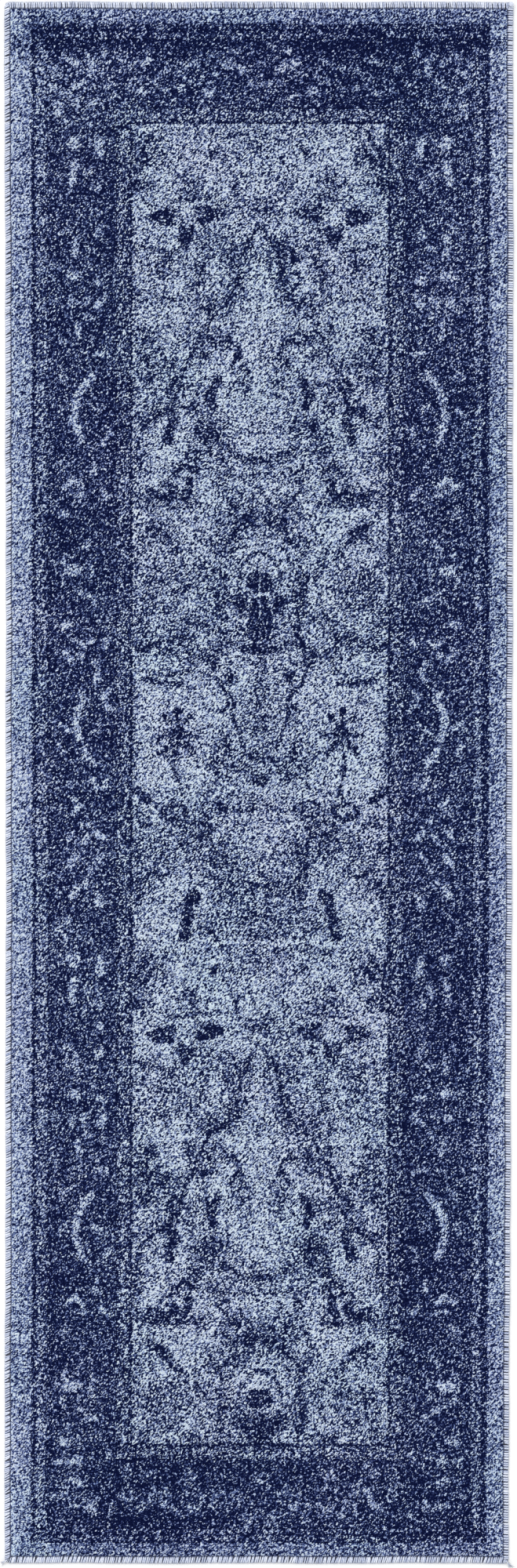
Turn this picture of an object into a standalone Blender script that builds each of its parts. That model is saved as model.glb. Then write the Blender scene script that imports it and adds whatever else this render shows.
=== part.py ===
"""A woven pile runner rug, serged with yarn along all four edges.

The rug lies flat: X runs across it, Y along it and Z up. The origin is on the floor under its
middle. Every length is in metres.

From the floor up the rug is a latex coat, a lower layer of weft, the warp, an upper layer of
weft and the pile. The pile is made of nested frames of tufts round a field. The warp and the
upper weft run on past the pile, and the serging yarn is wrapped round that bare edge.
"""

import math

import bmesh
import bpy
from mathutils import Matrix, Vector

# The whole rug
WIDTH = 0.790
LENGTH = 2.434
GAP = 0.0003  # between pieces that touch

# Layers, from the floor up
COAT_THICKNESS = 0.0006
LOWER_WEFT_THICKNESS = 0.0010
WARP_THICKNESS = 0.0007
UPPER_WEFT_THICKNESS = 0.0009
PILE_HEIGHT = 0.0070
PILE_SHOULDER = 0.0030  # how far the outermost tufts round over

# Serging and the thread that locks it
SERGING_REACH_SIDE = 0.0085  # how far in the wrap reaches on the long sides
SERGING_REACH_END = 0.0105
SERGING_YARN_THICKNESS = 0.0017
SERGING_WALL = 0.0020  # yarn outside the bare edge
SERGING_ARC_STEPS = 8
THREAD_DIAMETER = 0.0009
THREAD_SIDES = 8

# Yarn ends at the corners
TAIL_DIAMETER = 0.0016
TAIL_LENGTH = 0.0120
TAIL_SETBACK = 0.0010  # from the rug's side to the tip of a tail
TAIL_SIDES = 8
KNOT_WIDTH = 0.0060
KNOT_HEIGHT = 0.0034
KNOT_SETBACK = 0.0010

# Frames of tufts, from the edge in; each width is left, right, foot, head
OUTER_BAND = (0.0320, 0.0260, 0.0210, 0.0240)
OUTER_GUARD = (0.0245, 0.0245, 0.0220, 0.0220)
MAIN_BORDER = (0.1075, 0.1075, 0.1075, 0.1075)
INNER_GUARD = (0.0238, 0.0238, 0.0235, 0.0235)

# Heights that follow from the layers
LOWER_WEFT_BOTTOM = COAT_THICKNESS + GAP
LOWER_WEFT_TOP = LOWER_WEFT_BOTTOM + LOWER_WEFT_THICKNESS
WARP_BOTTOM = LOWER_WEFT_TOP + GAP
WARP_TOP = WARP_BOTTOM + WARP_THICKNESS
UPPER_WEFT_BOTTOM = WARP_TOP + GAP
UPPER_WEFT_TOP = UPPER_WEFT_BOTTOM + UPPER_WEFT_THICKNESS
PILE_BOTTOM = UPPER_WEFT_TOP + GAP
PILE_TOP = PILE_BOTTOM + PILE_HEIGHT
SERGING_TOP = PILE_BOTTOM + SERGING_YARN_THICKNESS


def yarn_material(name, colour, roughness):
    """A matte yarn or film of one colour."""
    material = bpy.data.materials.new(name)
    material.use_nodes = True
    shader = material.node_tree.nodes["Principled BSDF"]
    shader.inputs["Base Color"].default_value = (*colour, 1.0)
    shader.inputs["Roughness"].default_value = roughness
    shader.inputs["Metallic"].default_value = 0.0
    material.diffuse_color = (*colour, 1.0)
    return material


def add_piece(name, bm, centre, material):
    """Makes a named object of bm, whose shape is drawn round its own centre."""
    bmesh.ops.recalc_face_normals(bm, faces=bm.faces)
    mesh = bpy.data.meshes.new(name)
    bm.to_mesh(mesh)
    bm.free()
    mesh.materials.append(material)
    piece = bpy.data.objects.new(name, mesh)
    piece.location = centre
    piece.parent = rug
    bpy.context.scene.collection.objects.link(piece)
    return piece


def slab_mesh(size):
    """A box of this size round the origin."""
    bm = bmesh.new()
    bmesh.ops.create_cube(bm, size=1.0, matrix=Matrix.Diagonal((*size, 1.0)))
    return bm


def add_slab(name, area, bottom, top, material, shoulder=None):
    """A flat layer over area (x low, x high, y low, y high). shoulder is the direction in which
    its top edge rounds over, if it has one."""
    x_low, x_high, y_low, y_high = area
    size = Vector((x_high - x_low, y_high - y_low, top - bottom))
    bm = slab_mesh(size)
    if shoulder is not None:
        corner = shoulder + Vector((0, 0, 1))
        rim = [e for e in bm.edges if lies_at(e, corner, size)]
        bmesh.ops.bevel(
            bm, geom=rim, offset=PILE_SHOULDER, affect="EDGES",
            segments=3, profile=0.5, material=-1,
        )
    centre = Vector((x_low + x_high, y_low + y_high, bottom + top)) / 2
    return add_piece(name, bm, centre, material)


def lies_at(edge, corner, size):
    """Whether both ends of an edge of a box of this size lie on the two faces that corner names."""
    ends = [vert.co for vert in edge.verts]
    return all(
        abs(end[axis] - corner[axis] * size[axis] / 2) < GAP / 10
        for end in ends
        for axis in range(3)
        if corner[axis]
    )


def add_frame(name, outer, widths, material, rounded=False):
    """Four bars of tufts round the inside of outer. The head and foot bars run the whole width
    and the side bars fit between them. Returns the area that is left inside."""
    x_low, x_high, y_low, y_high = outer
    left, right, foot, head = widths
    inner = (x_low + left, x_high - right, y_low + foot, y_high - head)
    areas = {
        "left": (x_low, inner[0], inner[2] + GAP, inner[3] - GAP),
        "right": (inner[1], x_high, inner[2] + GAP, inner[3] - GAP),
        "foot": (x_low, x_high, y_low, inner[2]),
        "head": (x_low, x_high, inner[3], y_high),
    }
    outward = {"left": (-1, 0, 0), "right": (1, 0, 0), "foot": (0, -1, 0), "head": (0, 1, 0)}
    for side, area in areas.items():
        shoulder = Vector(outward[side]) if rounded else None
        add_slab(f"{name}_{side}", area, PILE_BOTTOM, PILE_TOP, material, shoulder)
    return (inner[0] + GAP, inner[1] - GAP, inner[2] + GAP, inner[3] - GAP)


def serging_outline(reach):
    """The wrap's section as (distance in from the edge, height): a half-round outside, and a slot
    that holds the warp and the upper weft."""
    radius = SERGING_TOP / 2
    points = [(reach, 0.0)]
    for step in range(SERGING_ARC_STEPS + 1):
        turn = math.pi * step / SERGING_ARC_STEPS
        points.append((radius * (1 - math.sin(turn)), radius * (1 - math.cos(turn))))
    points += [
        (reach, SERGING_TOP),
        (reach, PILE_BOTTOM),
        (SERGING_WALL, PILE_BOTTOM),
        (SERGING_WALL, LOWER_WEFT_TOP),
        (reach, LOWER_WEFT_TOP),
    ]
    return points


def add_serging(side, reach, edge, half_run, turn):
    """One side's wrap. It is drawn along X with the rug's middle towards +Y, cut to a mitre at
    both ends, and turned into place about the rug's middle."""
    half = half_run - GAP / math.sqrt(2)
    bm = bmesh.new()
    ring = [bm.verts.new((-half, inward - edge, height))
            for inward, height in serging_outline(reach)]
    start = bm.faces.new(ring)
    pushed = bmesh.ops.extrude_face_region(bm, geom=[start])["geom"]
    far_end = [item for item in pushed if isinstance(item, bmesh.types.BMVert)]
    bmesh.ops.translate(bm, verts=far_end, vec=(2 * half, 0, 0))
    for vert in bm.verts:
        vert.co.x -= math.copysign(vert.co.y + edge, vert.co.x)
    piece = add_piece(f"serging_{side}", bm, Vector((0, 0, 0)), serging_yarn)
    piece.rotation_euler.z = turn
    piece.data.shade_smooth()
    piece.data.set_sharp_from_angle(angle=math.radians(40))


def add_rod(name, start, end, diameter, sides, material):
    """A round length of thread or yarn with flat ends."""
    run = Vector(end) - Vector(start)
    bm = bmesh.new()
    bmesh.ops.create_cone(
        bm, cap_ends=True, segments=sides,
        radius1=diameter / 2, radius2=diameter / 2, depth=run.length,
    )
    piece = add_piece(name, bm, (Vector(start) + Vector(end)) / 2, material)
    piece.rotation_euler = run.to_track_quat("Z", "Y").to_euler()
    piece.data.shade_smooth()
    piece.data.set_sharp_from_angle(angle=math.radians(50))


for old in list(bpy.data.objects):
    bpy.data.objects.remove(old)

rug = bpy.data.objects.new("runner_rug", None)
bpy.context.scene.collection.objects.link(rug)

latex = yarn_material("latex_back_coat", (0.55, 0.55, 0.50), 0.60)
weft_yarn = yarn_material("weft_yarn", (0.42, 0.36, 0.26), 0.90)
warp_yarn = yarn_material("warp_yarn", (0.62, 0.60, 0.54), 0.85)
light_yarn = yarn_material("light_blue_pile", (0.23, 0.29, 0.42), 0.95)
speckled_yarn = yarn_material("speckled_pile", (0.09, 0.12, 0.21), 0.95)
navy_yarn = yarn_material("navy_pile", (0.06, 0.08, 0.17), 0.95)
field_yarn = yarn_material("field_pile", (0.17, 0.20, 0.29), 0.95)
serging_yarn = yarn_material("serging_yarn", (0.46, 0.50, 0.60), 0.80)
needle_thread = yarn_material("needle_thread", (0.05, 0.07, 0.14), 0.70)

# The coat and the lower weft stop at the wrap's lower edge, so the underside is one plane.
half_width = WIDTH / 2
half_length = LENGTH / 2
under_x = half_width - SERGING_REACH_SIDE - GAP
under_y = half_length - SERGING_REACH_END - GAP
under_area = (-under_x, under_x, -under_y, under_y)
add_slab("latex_back_coat", under_area, 0.0, COAT_THICKNESS, latex)
add_slab("lower_weft", under_area, LOWER_WEFT_BOTTOM, LOWER_WEFT_TOP, weft_yarn)

# The warp and the upper weft run out into the slot of the serging.
web_x = half_width - SERGING_WALL - GAP
web_y = half_length - SERGING_WALL - GAP
web_area = (-web_x, web_x, -web_y, web_y)
add_slab("warp_ends", web_area, WARP_BOTTOM, WARP_TOP, warp_yarn)
add_slab("upper_weft", web_area, UPPER_WEFT_BOTTOM, UPPER_WEFT_TOP, weft_yarn)

# Serging, one wrap for each edge.
add_serging("foot", SERGING_REACH_END, half_length, half_width, 0.0)
add_serging("right", SERGING_REACH_SIDE, half_width, half_length, math.pi / 2)
add_serging("head", SERGING_REACH_END, half_length, half_width, math.pi)
add_serging("left", SERGING_REACH_SIDE, half_width, half_length, -math.pi / 2)

# Needle thread, in the groove between the serging and the pile.
thread_x = under_x - THREAD_DIAMETER / 2
thread_y = under_y - THREAD_DIAMETER / 2
thread_z = PILE_BOTTOM + THREAD_DIAMETER / 2
side_run = thread_y - THREAD_DIAMETER / 2 - GAP
for side, sign in (("left", -1), ("right", 1)):
    x = sign * thread_x
    add_rod(f"needle_thread_{side}", (x, -side_run, thread_z), (x, side_run, thread_z),
            THREAD_DIAMETER, THREAD_SIDES, needle_thread)
for side, sign in (("foot", -1), ("head", 1)):
    y = sign * thread_y
    add_rod(f"needle_thread_{side}", (-under_x, y, thread_z), (under_x, y, thread_z),
            THREAD_DIAMETER, THREAD_SIDES, needle_thread)

# Pile, from the edge in to the field.
pile_x = under_x - THREAD_DIAMETER - GAP
pile_y = under_y - THREAD_DIAMETER - GAP
area = (-pile_x, pile_x, -pile_y, pile_y)
area = add_frame("outer_band", area, OUTER_BAND, light_yarn, rounded=True)
area = add_frame("outer_guard", area, OUTER_GUARD, speckled_yarn)
area = add_frame("main_border", area, MAIN_BORDER, navy_yarn)
area = add_frame("inner_guard", area, INNER_GUARD, speckled_yarn)
add_slab("field", area, PILE_BOTTOM, PILE_TOP, field_yarn)

# Yarn ends: a tail at each foot corner, and a knot on the right-hand head corner.
tail_y = -half_length + SERGING_REACH_END / 2
tail_z = SERGING_TOP + GAP + TAIL_DIAMETER / 2
for side, sign in (("left", -1), ("right", 1)):
    tip = sign * (half_width - TAIL_SETBACK)
    root = tip - sign * TAIL_LENGTH
    add_rod(f"yarn_tail_foot_{side}", (root, tail_y, tail_z), (tip, tail_y, tail_z),
            TAIL_DIAMETER, TAIL_SIDES, serging_yarn)

knot = bmesh.new()
bmesh.ops.create_icosphere(knot, subdivisions=2, radius=0.5)
bmesh.ops.scale(knot, verts=knot.verts, vec=(KNOT_WIDTH, KNOT_WIDTH, KNOT_HEIGHT))
knot_in = KNOT_SETBACK + KNOT_WIDTH / 2
knot_place = Vector((half_width - knot_in, half_length - knot_in, SERGING_TOP + GAP + KNOT_HEIGHT / 2))
knot_piece = add_piece("corner_knot", knot, knot_place, serging_yarn)
knot_piece.data.shade_smooth()
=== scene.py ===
"""Looks of a woven pile runner rug that lies flat on a pale floor.

X runs across the rug, Y along it and Z up; the origin is on the floor under the rug's middle. Lengths
are in metres, and in millimetres where a name ends in MM or a value is multiplied by MM. The sections
follow the rug as it is made: coat and ground weave, pile, serging, locking thread, yarn ends.
"""

import math

import bmesh
import bpy
import numpy as np
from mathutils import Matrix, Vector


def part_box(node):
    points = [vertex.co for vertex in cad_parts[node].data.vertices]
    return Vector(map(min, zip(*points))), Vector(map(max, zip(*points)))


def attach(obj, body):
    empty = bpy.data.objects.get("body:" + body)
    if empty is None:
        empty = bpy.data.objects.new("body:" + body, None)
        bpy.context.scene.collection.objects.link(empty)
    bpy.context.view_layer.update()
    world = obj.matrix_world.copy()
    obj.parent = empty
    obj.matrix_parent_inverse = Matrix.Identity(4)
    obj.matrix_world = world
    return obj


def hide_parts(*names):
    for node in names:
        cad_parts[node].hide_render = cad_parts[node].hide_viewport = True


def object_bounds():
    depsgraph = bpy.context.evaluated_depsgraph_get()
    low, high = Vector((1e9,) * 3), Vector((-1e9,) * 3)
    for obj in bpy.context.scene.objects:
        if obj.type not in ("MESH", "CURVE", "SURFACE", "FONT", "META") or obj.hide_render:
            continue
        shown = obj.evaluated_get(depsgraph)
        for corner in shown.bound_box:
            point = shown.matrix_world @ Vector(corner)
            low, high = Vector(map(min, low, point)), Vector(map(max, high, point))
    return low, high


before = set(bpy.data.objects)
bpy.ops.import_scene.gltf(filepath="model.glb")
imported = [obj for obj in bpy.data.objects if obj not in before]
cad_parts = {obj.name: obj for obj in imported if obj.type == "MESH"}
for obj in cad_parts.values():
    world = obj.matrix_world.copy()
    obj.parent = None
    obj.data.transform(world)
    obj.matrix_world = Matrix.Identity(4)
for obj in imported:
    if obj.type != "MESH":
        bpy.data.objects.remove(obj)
cad_low, cad_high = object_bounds()

# Camera, straight above the rug. A long lens keeps the edges parallel, and the picture's top is the
# rug's head.
SENSOR = 36.0
LENS = 200.0
VIEW_LENGTH = 2.4432  # of the pile's plane, from the picture's top to its foot
VIEW_X = 0.0006  # the picture's middle, a little to the right of the rug's
VIEW_Y = -0.0018  # and a little towards its foot

camera_data = bpy.data.cameras.new("plan_camera")
camera_data.lens = LENS
camera_data.sensor_width = SENSOR
camera_data.clip_end = 100.0
camera = bpy.data.objects.new("plan_camera", camera_data)
camera.location = (VIEW_X, VIEW_Y, cad_high.z + VIEW_LENGTH * LENS / SENSOR)
bpy.context.scene.collection.objects.link(camera)
bpy.context.scene.camera = camera
bpy.context.scene.view_settings.view_transform = "Standard"


# Pale floor under the rug and soft light from above: an even white sky, and a broad lamp that leans a
# little so that the tufts have a lit side.
class Wire:
    """A socket's output that takes part in sums: each operator adds the Math node for it."""

    def __init__(self, finish, socket):
        self.finish = finish
        self.socket = socket

    def math(self, operation, *others):
        values = dict(enumerate((self, *others)))
        return self.finish.node("Math", {"operation": operation}, values)

    def __add__(self, other):
        return self.math("ADD", other)

    def __sub__(self, other):
        return self.math("SUBTRACT", other)

    def __mul__(self, other):
        return self.math("MULTIPLY", other)

    def __rsub__(self, other):
        return (self * -1.0) + other

    def __rtruediv__(self, other):
        return self.math("POWER", -1.0) * other

    __radd__ = __add__
    __rmul__ = __mul__


class Finish:
    """A material under a maker's name, with the Principled shader's plain values set on its sockets."""

    def __init__(self, name, plain):
        self.material = bpy.data.materials.new(name)
        self.material.use_nodes = True
        self.nodes = self.material.node_tree.nodes
        self.shader = self.nodes["Principled BSDF"]
        for socket, value in plain.items():
            self.shader.inputs[socket].default_value = value

    def put(self, value, socket):
        if isinstance(value, Wire):
            self.material.node_tree.links.new(value.socket, socket)
        else:
            socket.default_value = value

    def node(self, kind, settings=None, values=None, output=0):
        made = self.nodes.new("ShaderNode" + kind)
        for name, setting in (settings or {}).items():
            if name == "stops":
                self.set_stops(made.color_ramp.elements, setting)
            else:
                setattr(made, name, setting)
        for socket, value in (values or {}).items():
            self.put(value, made.inputs[socket])
        return Wire(self, made.outputs[output])

    def set_stops(self, elements, stops):
        while len(elements) < len(stops):
            elements.new(0.5)
        for element, (place, colour) in zip(elements, stops):
            element.position = place
            element.color = colour

    def spots(self, scale, detail=2.0, stretch=(1.0, 1.0, 1.0)):
        """Cloudy noise from 0 to 1, scale clouds to the metre, stretched along the axes."""
        place = self.node("TexCoord", output="Object")
        place = self.node("Mapping", {}, {"Vector": place, "Scale": stretch})
        return self.node("TexNoise", {}, {"Vector": place, "Scale": scale, "Detail": detail})

    def cells(self, scale):
        """How far each point is from the middle of its cell, scale cells to the metre."""
        place = self.node("TexCoord", output="Object")
        return self.node("TexVoronoi", {}, {"Vector": place, "Scale": scale})

    def attribute(self, name):
        return self.node("Attribute", {"attribute_name": name}, output="Fac")

    def mix(self, share, first, second, blend="MIX"):
        made = self.nodes.new("ShaderNodeMix")
        made.data_type = "RGBA"
        made.blend_type = blend
        for value, place in ((share, 0), (first, 6), (second, 7)):
            self.put(value, made.inputs[place])
        return Wire(self, made.outputs[2])

    def bump(self, height, depth, strength=1.0):
        values = {"Height": height, "Distance": depth, "Strength": strength}
        return self.node("Bump", {}, values, "Normal")

    def wear(self, looks):
        for socket, value in looks.items():
            self.put(value, self.shader.inputs[socket])
        return self.material


def dye(red, green, blue):
    """A colour named by its 0 to 255 screen values, as the linear colour that shaders take."""
    shares = np.array([red, green, blue]) / 255.0
    linear = np.where(shares > 0.04045, ((shares + 0.055) / 1.055) ** 2.4, shares / 12.92)
    return (*linear.tolist(), 1.0)


FLOOR_SIZE = 60.0
FLOOR_DROP = 0.0002
SKY_STRENGTH = 0.69
LAMP_STRENGTH = 1.55
LAMP_WIDTH_DEG = 50.0
LAMP_LEAN_DEG = 24.0

floor_bm = bmesh.new()
bmesh.ops.create_grid(floor_bm, x_segments=2, y_segments=2, size=FLOOR_SIZE / 2)
bmesh.ops.translate(floor_bm, verts=floor_bm.verts, vec=(0, 0, -FLOOR_DROP))
floor_mesh = bpy.data.meshes.new("floor")
floor_bm.to_mesh(floor_mesh)
floor_bm.free()
floor_paint = Finish("floor_paint", {"Roughness": 0.9, "Base Color": dye(247, 247, 247)})
floor_mesh.materials.append(floor_paint.material)
floor = bpy.data.objects.new("floor", floor_mesh)
bpy.context.scene.collection.objects.link(floor)

sky = bpy.data.worlds.new("studio_sky")
sky.use_nodes = True
sky.node_tree.nodes["Background"].inputs["Color"].default_value = (1.0, 1.0, 1.0, 1.0)
sky.node_tree.nodes["Background"].inputs["Strength"].default_value = SKY_STRENGTH
bpy.context.scene.world = sky
lamp_data = bpy.data.lights.new("studio_lamp", "SUN")
lamp_data.energy = LAMP_STRENGTH
lamp_data.angle = math.radians(LAMP_WIDTH_DEG)
lamp = bpy.data.objects.new("studio_lamp", lamp_data)
lamp.rotation_euler = (math.radians(-LAMP_LEAN_DEG), math.radians(-LAMP_LEAN_DEG / 2), 0.0)
bpy.context.scene.collection.objects.link(lamp)

# Latex back coat: a thin skin of latex brushed over the back of the weave, which locks the yarns. It
# is cut to the ground cloth, dries matte, and shows the ribs of the weft through it.
MM = 0.001
RIB_SPACING = 3.1 * MM
RIB_HEIGHT = 0.12 * MM
RIB_RIPPLE = 190.0  # radians to the metre, across the ribs
COAT_CELL = 12.0 * MM
LEFT_BOW = 2.6 * MM
LEFT_OUT = 0.8 * MM
RIGHT_BOW = 2.2 * MM
RIGHT_TILT = 4.1 * MM
RIGHT_OUT = 1.1 * MM
WANDER = 0.35 * MM  # of the long edges
END_WANDER = 0.5 * MM
HEAD_SHIFT = 1.1 * MM

half_width = cad_high.x
half_length = cad_high.y


def settled(points):
    """Where the rug's points come to lie on the floor: the left side draws in a little along its
    middle, the right one runs in from the head to the foot, and each edge wanders slightly."""
    x, y, z = points.T
    up = y / half_length
    left_pull = LEFT_BOW * (1 - up * up) - LEFT_OUT
    right_pull = RIGHT_BOW * up * up - RIGHT_TILT * up - RIGHT_OUT
    wander = WANDER * (np.sin(y * 31 + 1.0) + np.sin(y * 12.7 + 4.0) + 0.6 * np.sin(y * 83))
    side_share = np.clip(np.abs(x) / half_width, 0, 1) ** 3
    x = x + side_share * np.where(x < 0, left_pull + wander, wander - right_pull)
    end_share = np.clip(np.abs(y) / half_length, 0, 1) ** 12
    end_wander = END_WANDER * (np.sin(x * 23 + 2.0) + 0.5 * np.sin(x * 61))
    y = y + end_share * (end_wander + HEAD_SHIFT * (y > 0))
    return np.stack([x, y, z], 1)


def points_of(mesh):
    points = np.zeros(len(mesh.vertices) * 3)
    mesh.vertices.foreach_get("co", points)
    return points.reshape(-1, 3)


def mesh_of(name, bm):
    mesh = bpy.data.meshes.new(name)
    bm.to_mesh(mesh)
    bm.free()
    return mesh


def add_piece(name, mesh, points, material, smooth=True):
    """Settles a mesh's points on the floor and makes it the piece that stands for the node name."""
    mesh.vertices.foreach_set("co", settled(points).ravel())
    mesh.polygons.foreach_set("use_smooth", [smooth] * len(mesh.polygons))
    mesh.materials.append(material)
    mesh.update()
    piece = bpy.data.objects.new(name + "_look", mesh)
    bpy.context.scene.collection.objects.link(piece)
    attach(piece, "root")
    return piece


def corners_of(mesh):
    """For each face corner its vertex, and for each face its middle."""
    vertex = np.zeros(len(mesh.loops), int)
    mesh.loops.foreach_get("vertex_index", vertex)
    middle = np.zeros(len(mesh.polygons) * 3)
    mesh.polygons.foreach_get("center", middle)
    return vertex, middle.reshape(-1, 3)


def per_corner(mesh, values):
    """A value for each face, repeated for each of its corners."""
    count = np.zeros(len(mesh.polygons), int)
    mesh.polygons.foreach_get("loop_total", count)
    return np.repeat(values, count)


def closed_sheet(name, low, high, cell):
    """A grid over the box from low to high, with walls down from its rim and a floor."""
    across = max(2, round((high[0] - low[0]) / cell))
    along = max(2, round((high[1] - low[1]) / cell))
    bm = bmesh.new()
    bmesh.ops.create_grid(bm, x_segments=across, y_segments=along, size=0.5)
    top = list(bm.verts)
    copy = bmesh.ops.duplicate(bm, geom=bm.faces[:])["geom"]
    under = [item for item in copy if isinstance(item, bmesh.types.BMVert)]
    bmesh.ops.reverse_faces(bm, faces=[f for f in copy if isinstance(f, bmesh.types.BMFace)])
    bmesh.ops.translate(bm, verts=under, vec=(0, 0, -1))
    bmesh.ops.bridge_loops(bm, edges=[edge for edge in bm.edges if edge.is_boundary])
    mesh = mesh_of(name, bm)
    points = points_of(mesh)
    middle = (np.array(low[:2]) + np.array(high[:2])) / 2
    size = np.array(high[:2]) - np.array(low[:2])
    points[:, :2] = middle + points[:, :2] * size
    return mesh, points, np.arange(len(points)) < len(top)


latex = Finish("latex_coat", {"Specular IOR Level": 0.35})
coat_clouds = latex.spots(14.0, 4.0)
coat_ribs = latex.spots(1.0, 3.0, (90.0, 320.0, 90.0))
coat_colour = latex.mix(coat_clouds, dye(196, 196, 190), dye(168, 172, 176))
coat_colour = latex.mix(coat_ribs * 0.7, coat_colour, dye(120, 128, 146))
latex_material = latex.wear({
    "Base Color": coat_colour,
    "Roughness": coat_ribs * 0.3 + 0.45,
    "Normal": latex.bump(coat_ribs, 0.4 * MM, 0.7),
})

low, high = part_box("latex_back_coat")
coat_mesh, coat_points, on_top = closed_sheet("latex_back_coat", low, high, COAT_CELL)
ribs = np.cos(coat_points[:, 1] * 2 * math.pi / RIB_SPACING) * np.cos(coat_points[:, 0] * RIB_RIPPLE)
coat_points[:, 2] = np.where(on_top, high.z, low.z + RIB_HEIGHT * (1 + ribs) / 2)
latex_coat = add_piece("latex_back_coat", coat_mesh, coat_points, latex_material)
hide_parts("latex_back_coat")

# Lower weft: the shots of grey mixed yarn thrown across the loom under the warp. Each shot is one
# slightly flattened yarn, and one lies under each row of tufts. Its colour is partly the yarn's own
# and partly painted shade, darkened to how it looks in the gaps between the serging's wraps.
SHOT_SPACING = 3.1 * MM
SHOT_STATIONS = 6
SHOT_SIDES = 5
SHOT_FILL = 0.85  # of the spacing
YARN_SWAY = 0.12  # of the spacing
SWAY_WAVE = 9.0  # radians in a yarn's length


def tube(stations, sides):
    """A round tube of unit width and length along Z, ready to be copied and bent."""
    bm = bmesh.new()
    bmesh.ops.create_cone(bm, cap_ends=True, segments=sides, radius1=0.5, radius2=0.5, depth=1.0)
    upright = [edge for edge in bm.edges if abs(edge.verts[0].co.z - edge.verts[1].co.z) > 0.5]
    bmesh.ops.subdivide_edges(bm, edges=upright, cuts=stations - 2, use_grid_fill=True)
    return mesh_of("tube", bm)


def copies_of(part, count, name):
    """A mesh of count copies of part, and an array of each copy's points."""
    bm = bmesh.new()
    for _ in range(count):
        bm.from_mesh(part)
    mesh = mesh_of(name, bm)
    return mesh, points_of(mesh).reshape(count, -1, 3)


def add_yarn_layer(node, across, spacing, fill, material, seed):
    """Parallel yarns that fill the box of a CAD node, running across the rug or along it."""
    rng = np.random.default_rng(seed)
    low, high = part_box(node)
    run, step = (0, 1) if across else (1, 0)
    count = round((high[step] - low[step]) / spacing)
    mesh, yarns = copies_of(tube(SHOT_STATIONS, SHOT_SIDES), count, node)
    pitch = (high[step] - low[step]) / count
    places = low[step] + pitch * (np.arange(count) + 0.5)
    length = high[run] - low[run]
    points = np.zeros_like(yarns)
    points[:, :, run] = yarns[:, :, 2] * length + (low[run] + high[run]) / 2
    sway = YARN_SWAY * pitch * rng.normal(size=(count, 1)) * np.sin(SWAY_WAVE * yarns[:, :, 2])
    points[:, :, step] = places[:, None] + yarns[:, :, 0] * fill * pitch + sway
    thickness = high[2] - low[2]
    points[:, :, 2] = (low[2] + high[2]) / 2 + yarns[:, :, 1] * thickness
    piece = add_piece(node, mesh, points.reshape(-1, 3), material)
    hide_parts(node)
    return piece


def yarn_finish(name, gloss, fibres, dark, pale, roughness, depth):
    """A plain spun yarn: fibres are their stretched noise's detail and scale along each axis, and
    roughness is what it is at its darkest and how much it gains."""
    finish = Finish(name, {"Specular IOR Level": gloss})
    detail, stretch = fibres
    fibre = finish.spots(1.0, detail, stretch)
    return finish.wear({
        "Base Color": finish.mix(fibre, dark, pale),
        "Roughness": fibre * roughness[1] + roughness[0],
        "Normal": finish.bump(fibre, depth),
    })


# Partly painted shade: the weft's grey-blue is darker than the yarn, as it looks in the shaded gaps
# between the wraps.
WEFT_FIBRES = (3.0, (160.0, 1400.0, 1400.0))
weft_material = yarn_finish(
    "weft_yarn", 0.2, WEFT_FIBRES, dye(72, 74, 88), dye(126, 128, 142), (0.75, 0.2), 0.3 * MM
)
lower_weft = add_yarn_layer("lower_weft", True, SHOT_SPACING, SHOT_FILL, weft_material, 11)

# Warp: the strong pale yarns that run the rug's whole length on the loom, one to a column of tufts.
# They run on past the pile into the serging.
WARP_SPACING = 3.1 * MM
WARP_FILL = 0.6

WARP_FIBRES = (3.0, (1400.0, 160.0, 1400.0))
warp_material = yarn_finish(
    "warp_cotton", 0.2, WARP_FIBRES, dye(112, 116, 134), dye(168, 172, 188), (0.7, 0.2), 0.2 * MM
)
warp_ends = add_yarn_layer("warp_ends", False, WARP_SPACING, WARP_FILL, warp_material, 12)

# Upper weft: the same yarn over the warp, which beats the tufts down and holds them upright.
upper_weft = add_yarn_layer("upper_weft", True, SHOT_SPACING, SHOT_FILL, weft_material, 13)

# Pile: about 190,000 cut tufts of heat-set yarn, woven in one sheet. The tufts stand on one lattice,
# and each frame of the border and each strip of the field is the stretch of it that its zone holds.
TUFT_PITCH = 3.1 * MM
FIELD_STRIPS = 4
TIP_SPREAD = 0.8 * MM  # how far tips differ in height
SADDLE_DEPTH = 1.1 * MM  # below the tips, between two tufts
PIT_DEPTH = 2.5 * MM  # below the tips, where four tufts meet
LEAN = 0.24  # how far a point strays from the lattice, in pitches
SHOULDER_REACH = 7.0 * MM
SHOULDER_DROP = 3.4 * MM
# Painted shade in the pile's colour: how much it darkens in the saddles and in the pits.
SADDLE_PAINTED_SHADE = 0.42
PIT_PAINTED_SHADE = 0.85
RIM_LEAN = 0.5  # share of the lean that is left on the pile's outermost lines

RINGS = ("outer_band", "outer_guard", "main_border", "inner_guard")
INWARD_X = [ring + "_left" for ring in RINGS] + ["field"] + [ring + "_right" for ring in RINGS[::-1]]
INWARD_Y = [ring + "_foot" for ring in RINGS] + ["field"] + [ring + "_head" for ring in RINGS[::-1]]
RING_OF_ZONE = np.array([0, 1, 2, 3, 4, 3, 2, 1, 0])


def lattice_lines(zones, axis, multiple):
    """Lines half a pitch apart with whole tufts in each zone, and where each zone starts. The field
    holds a whole multiple of this many tufts."""
    lines = [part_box(zones[0])[0][axis]]
    starts = [0]
    for zone in zones:
        low, high = (corner[axis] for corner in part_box(zone))
        unit = multiple if zone == "field" else 1
        tufts = unit * round((high - low) / TUFT_PITCH / unit)
        lines.extend(np.linspace(lines[-1], high, 2 * tufts + 1)[1:])
        starts.append(len(lines) - 1)
    return np.array(lines), starts


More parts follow.
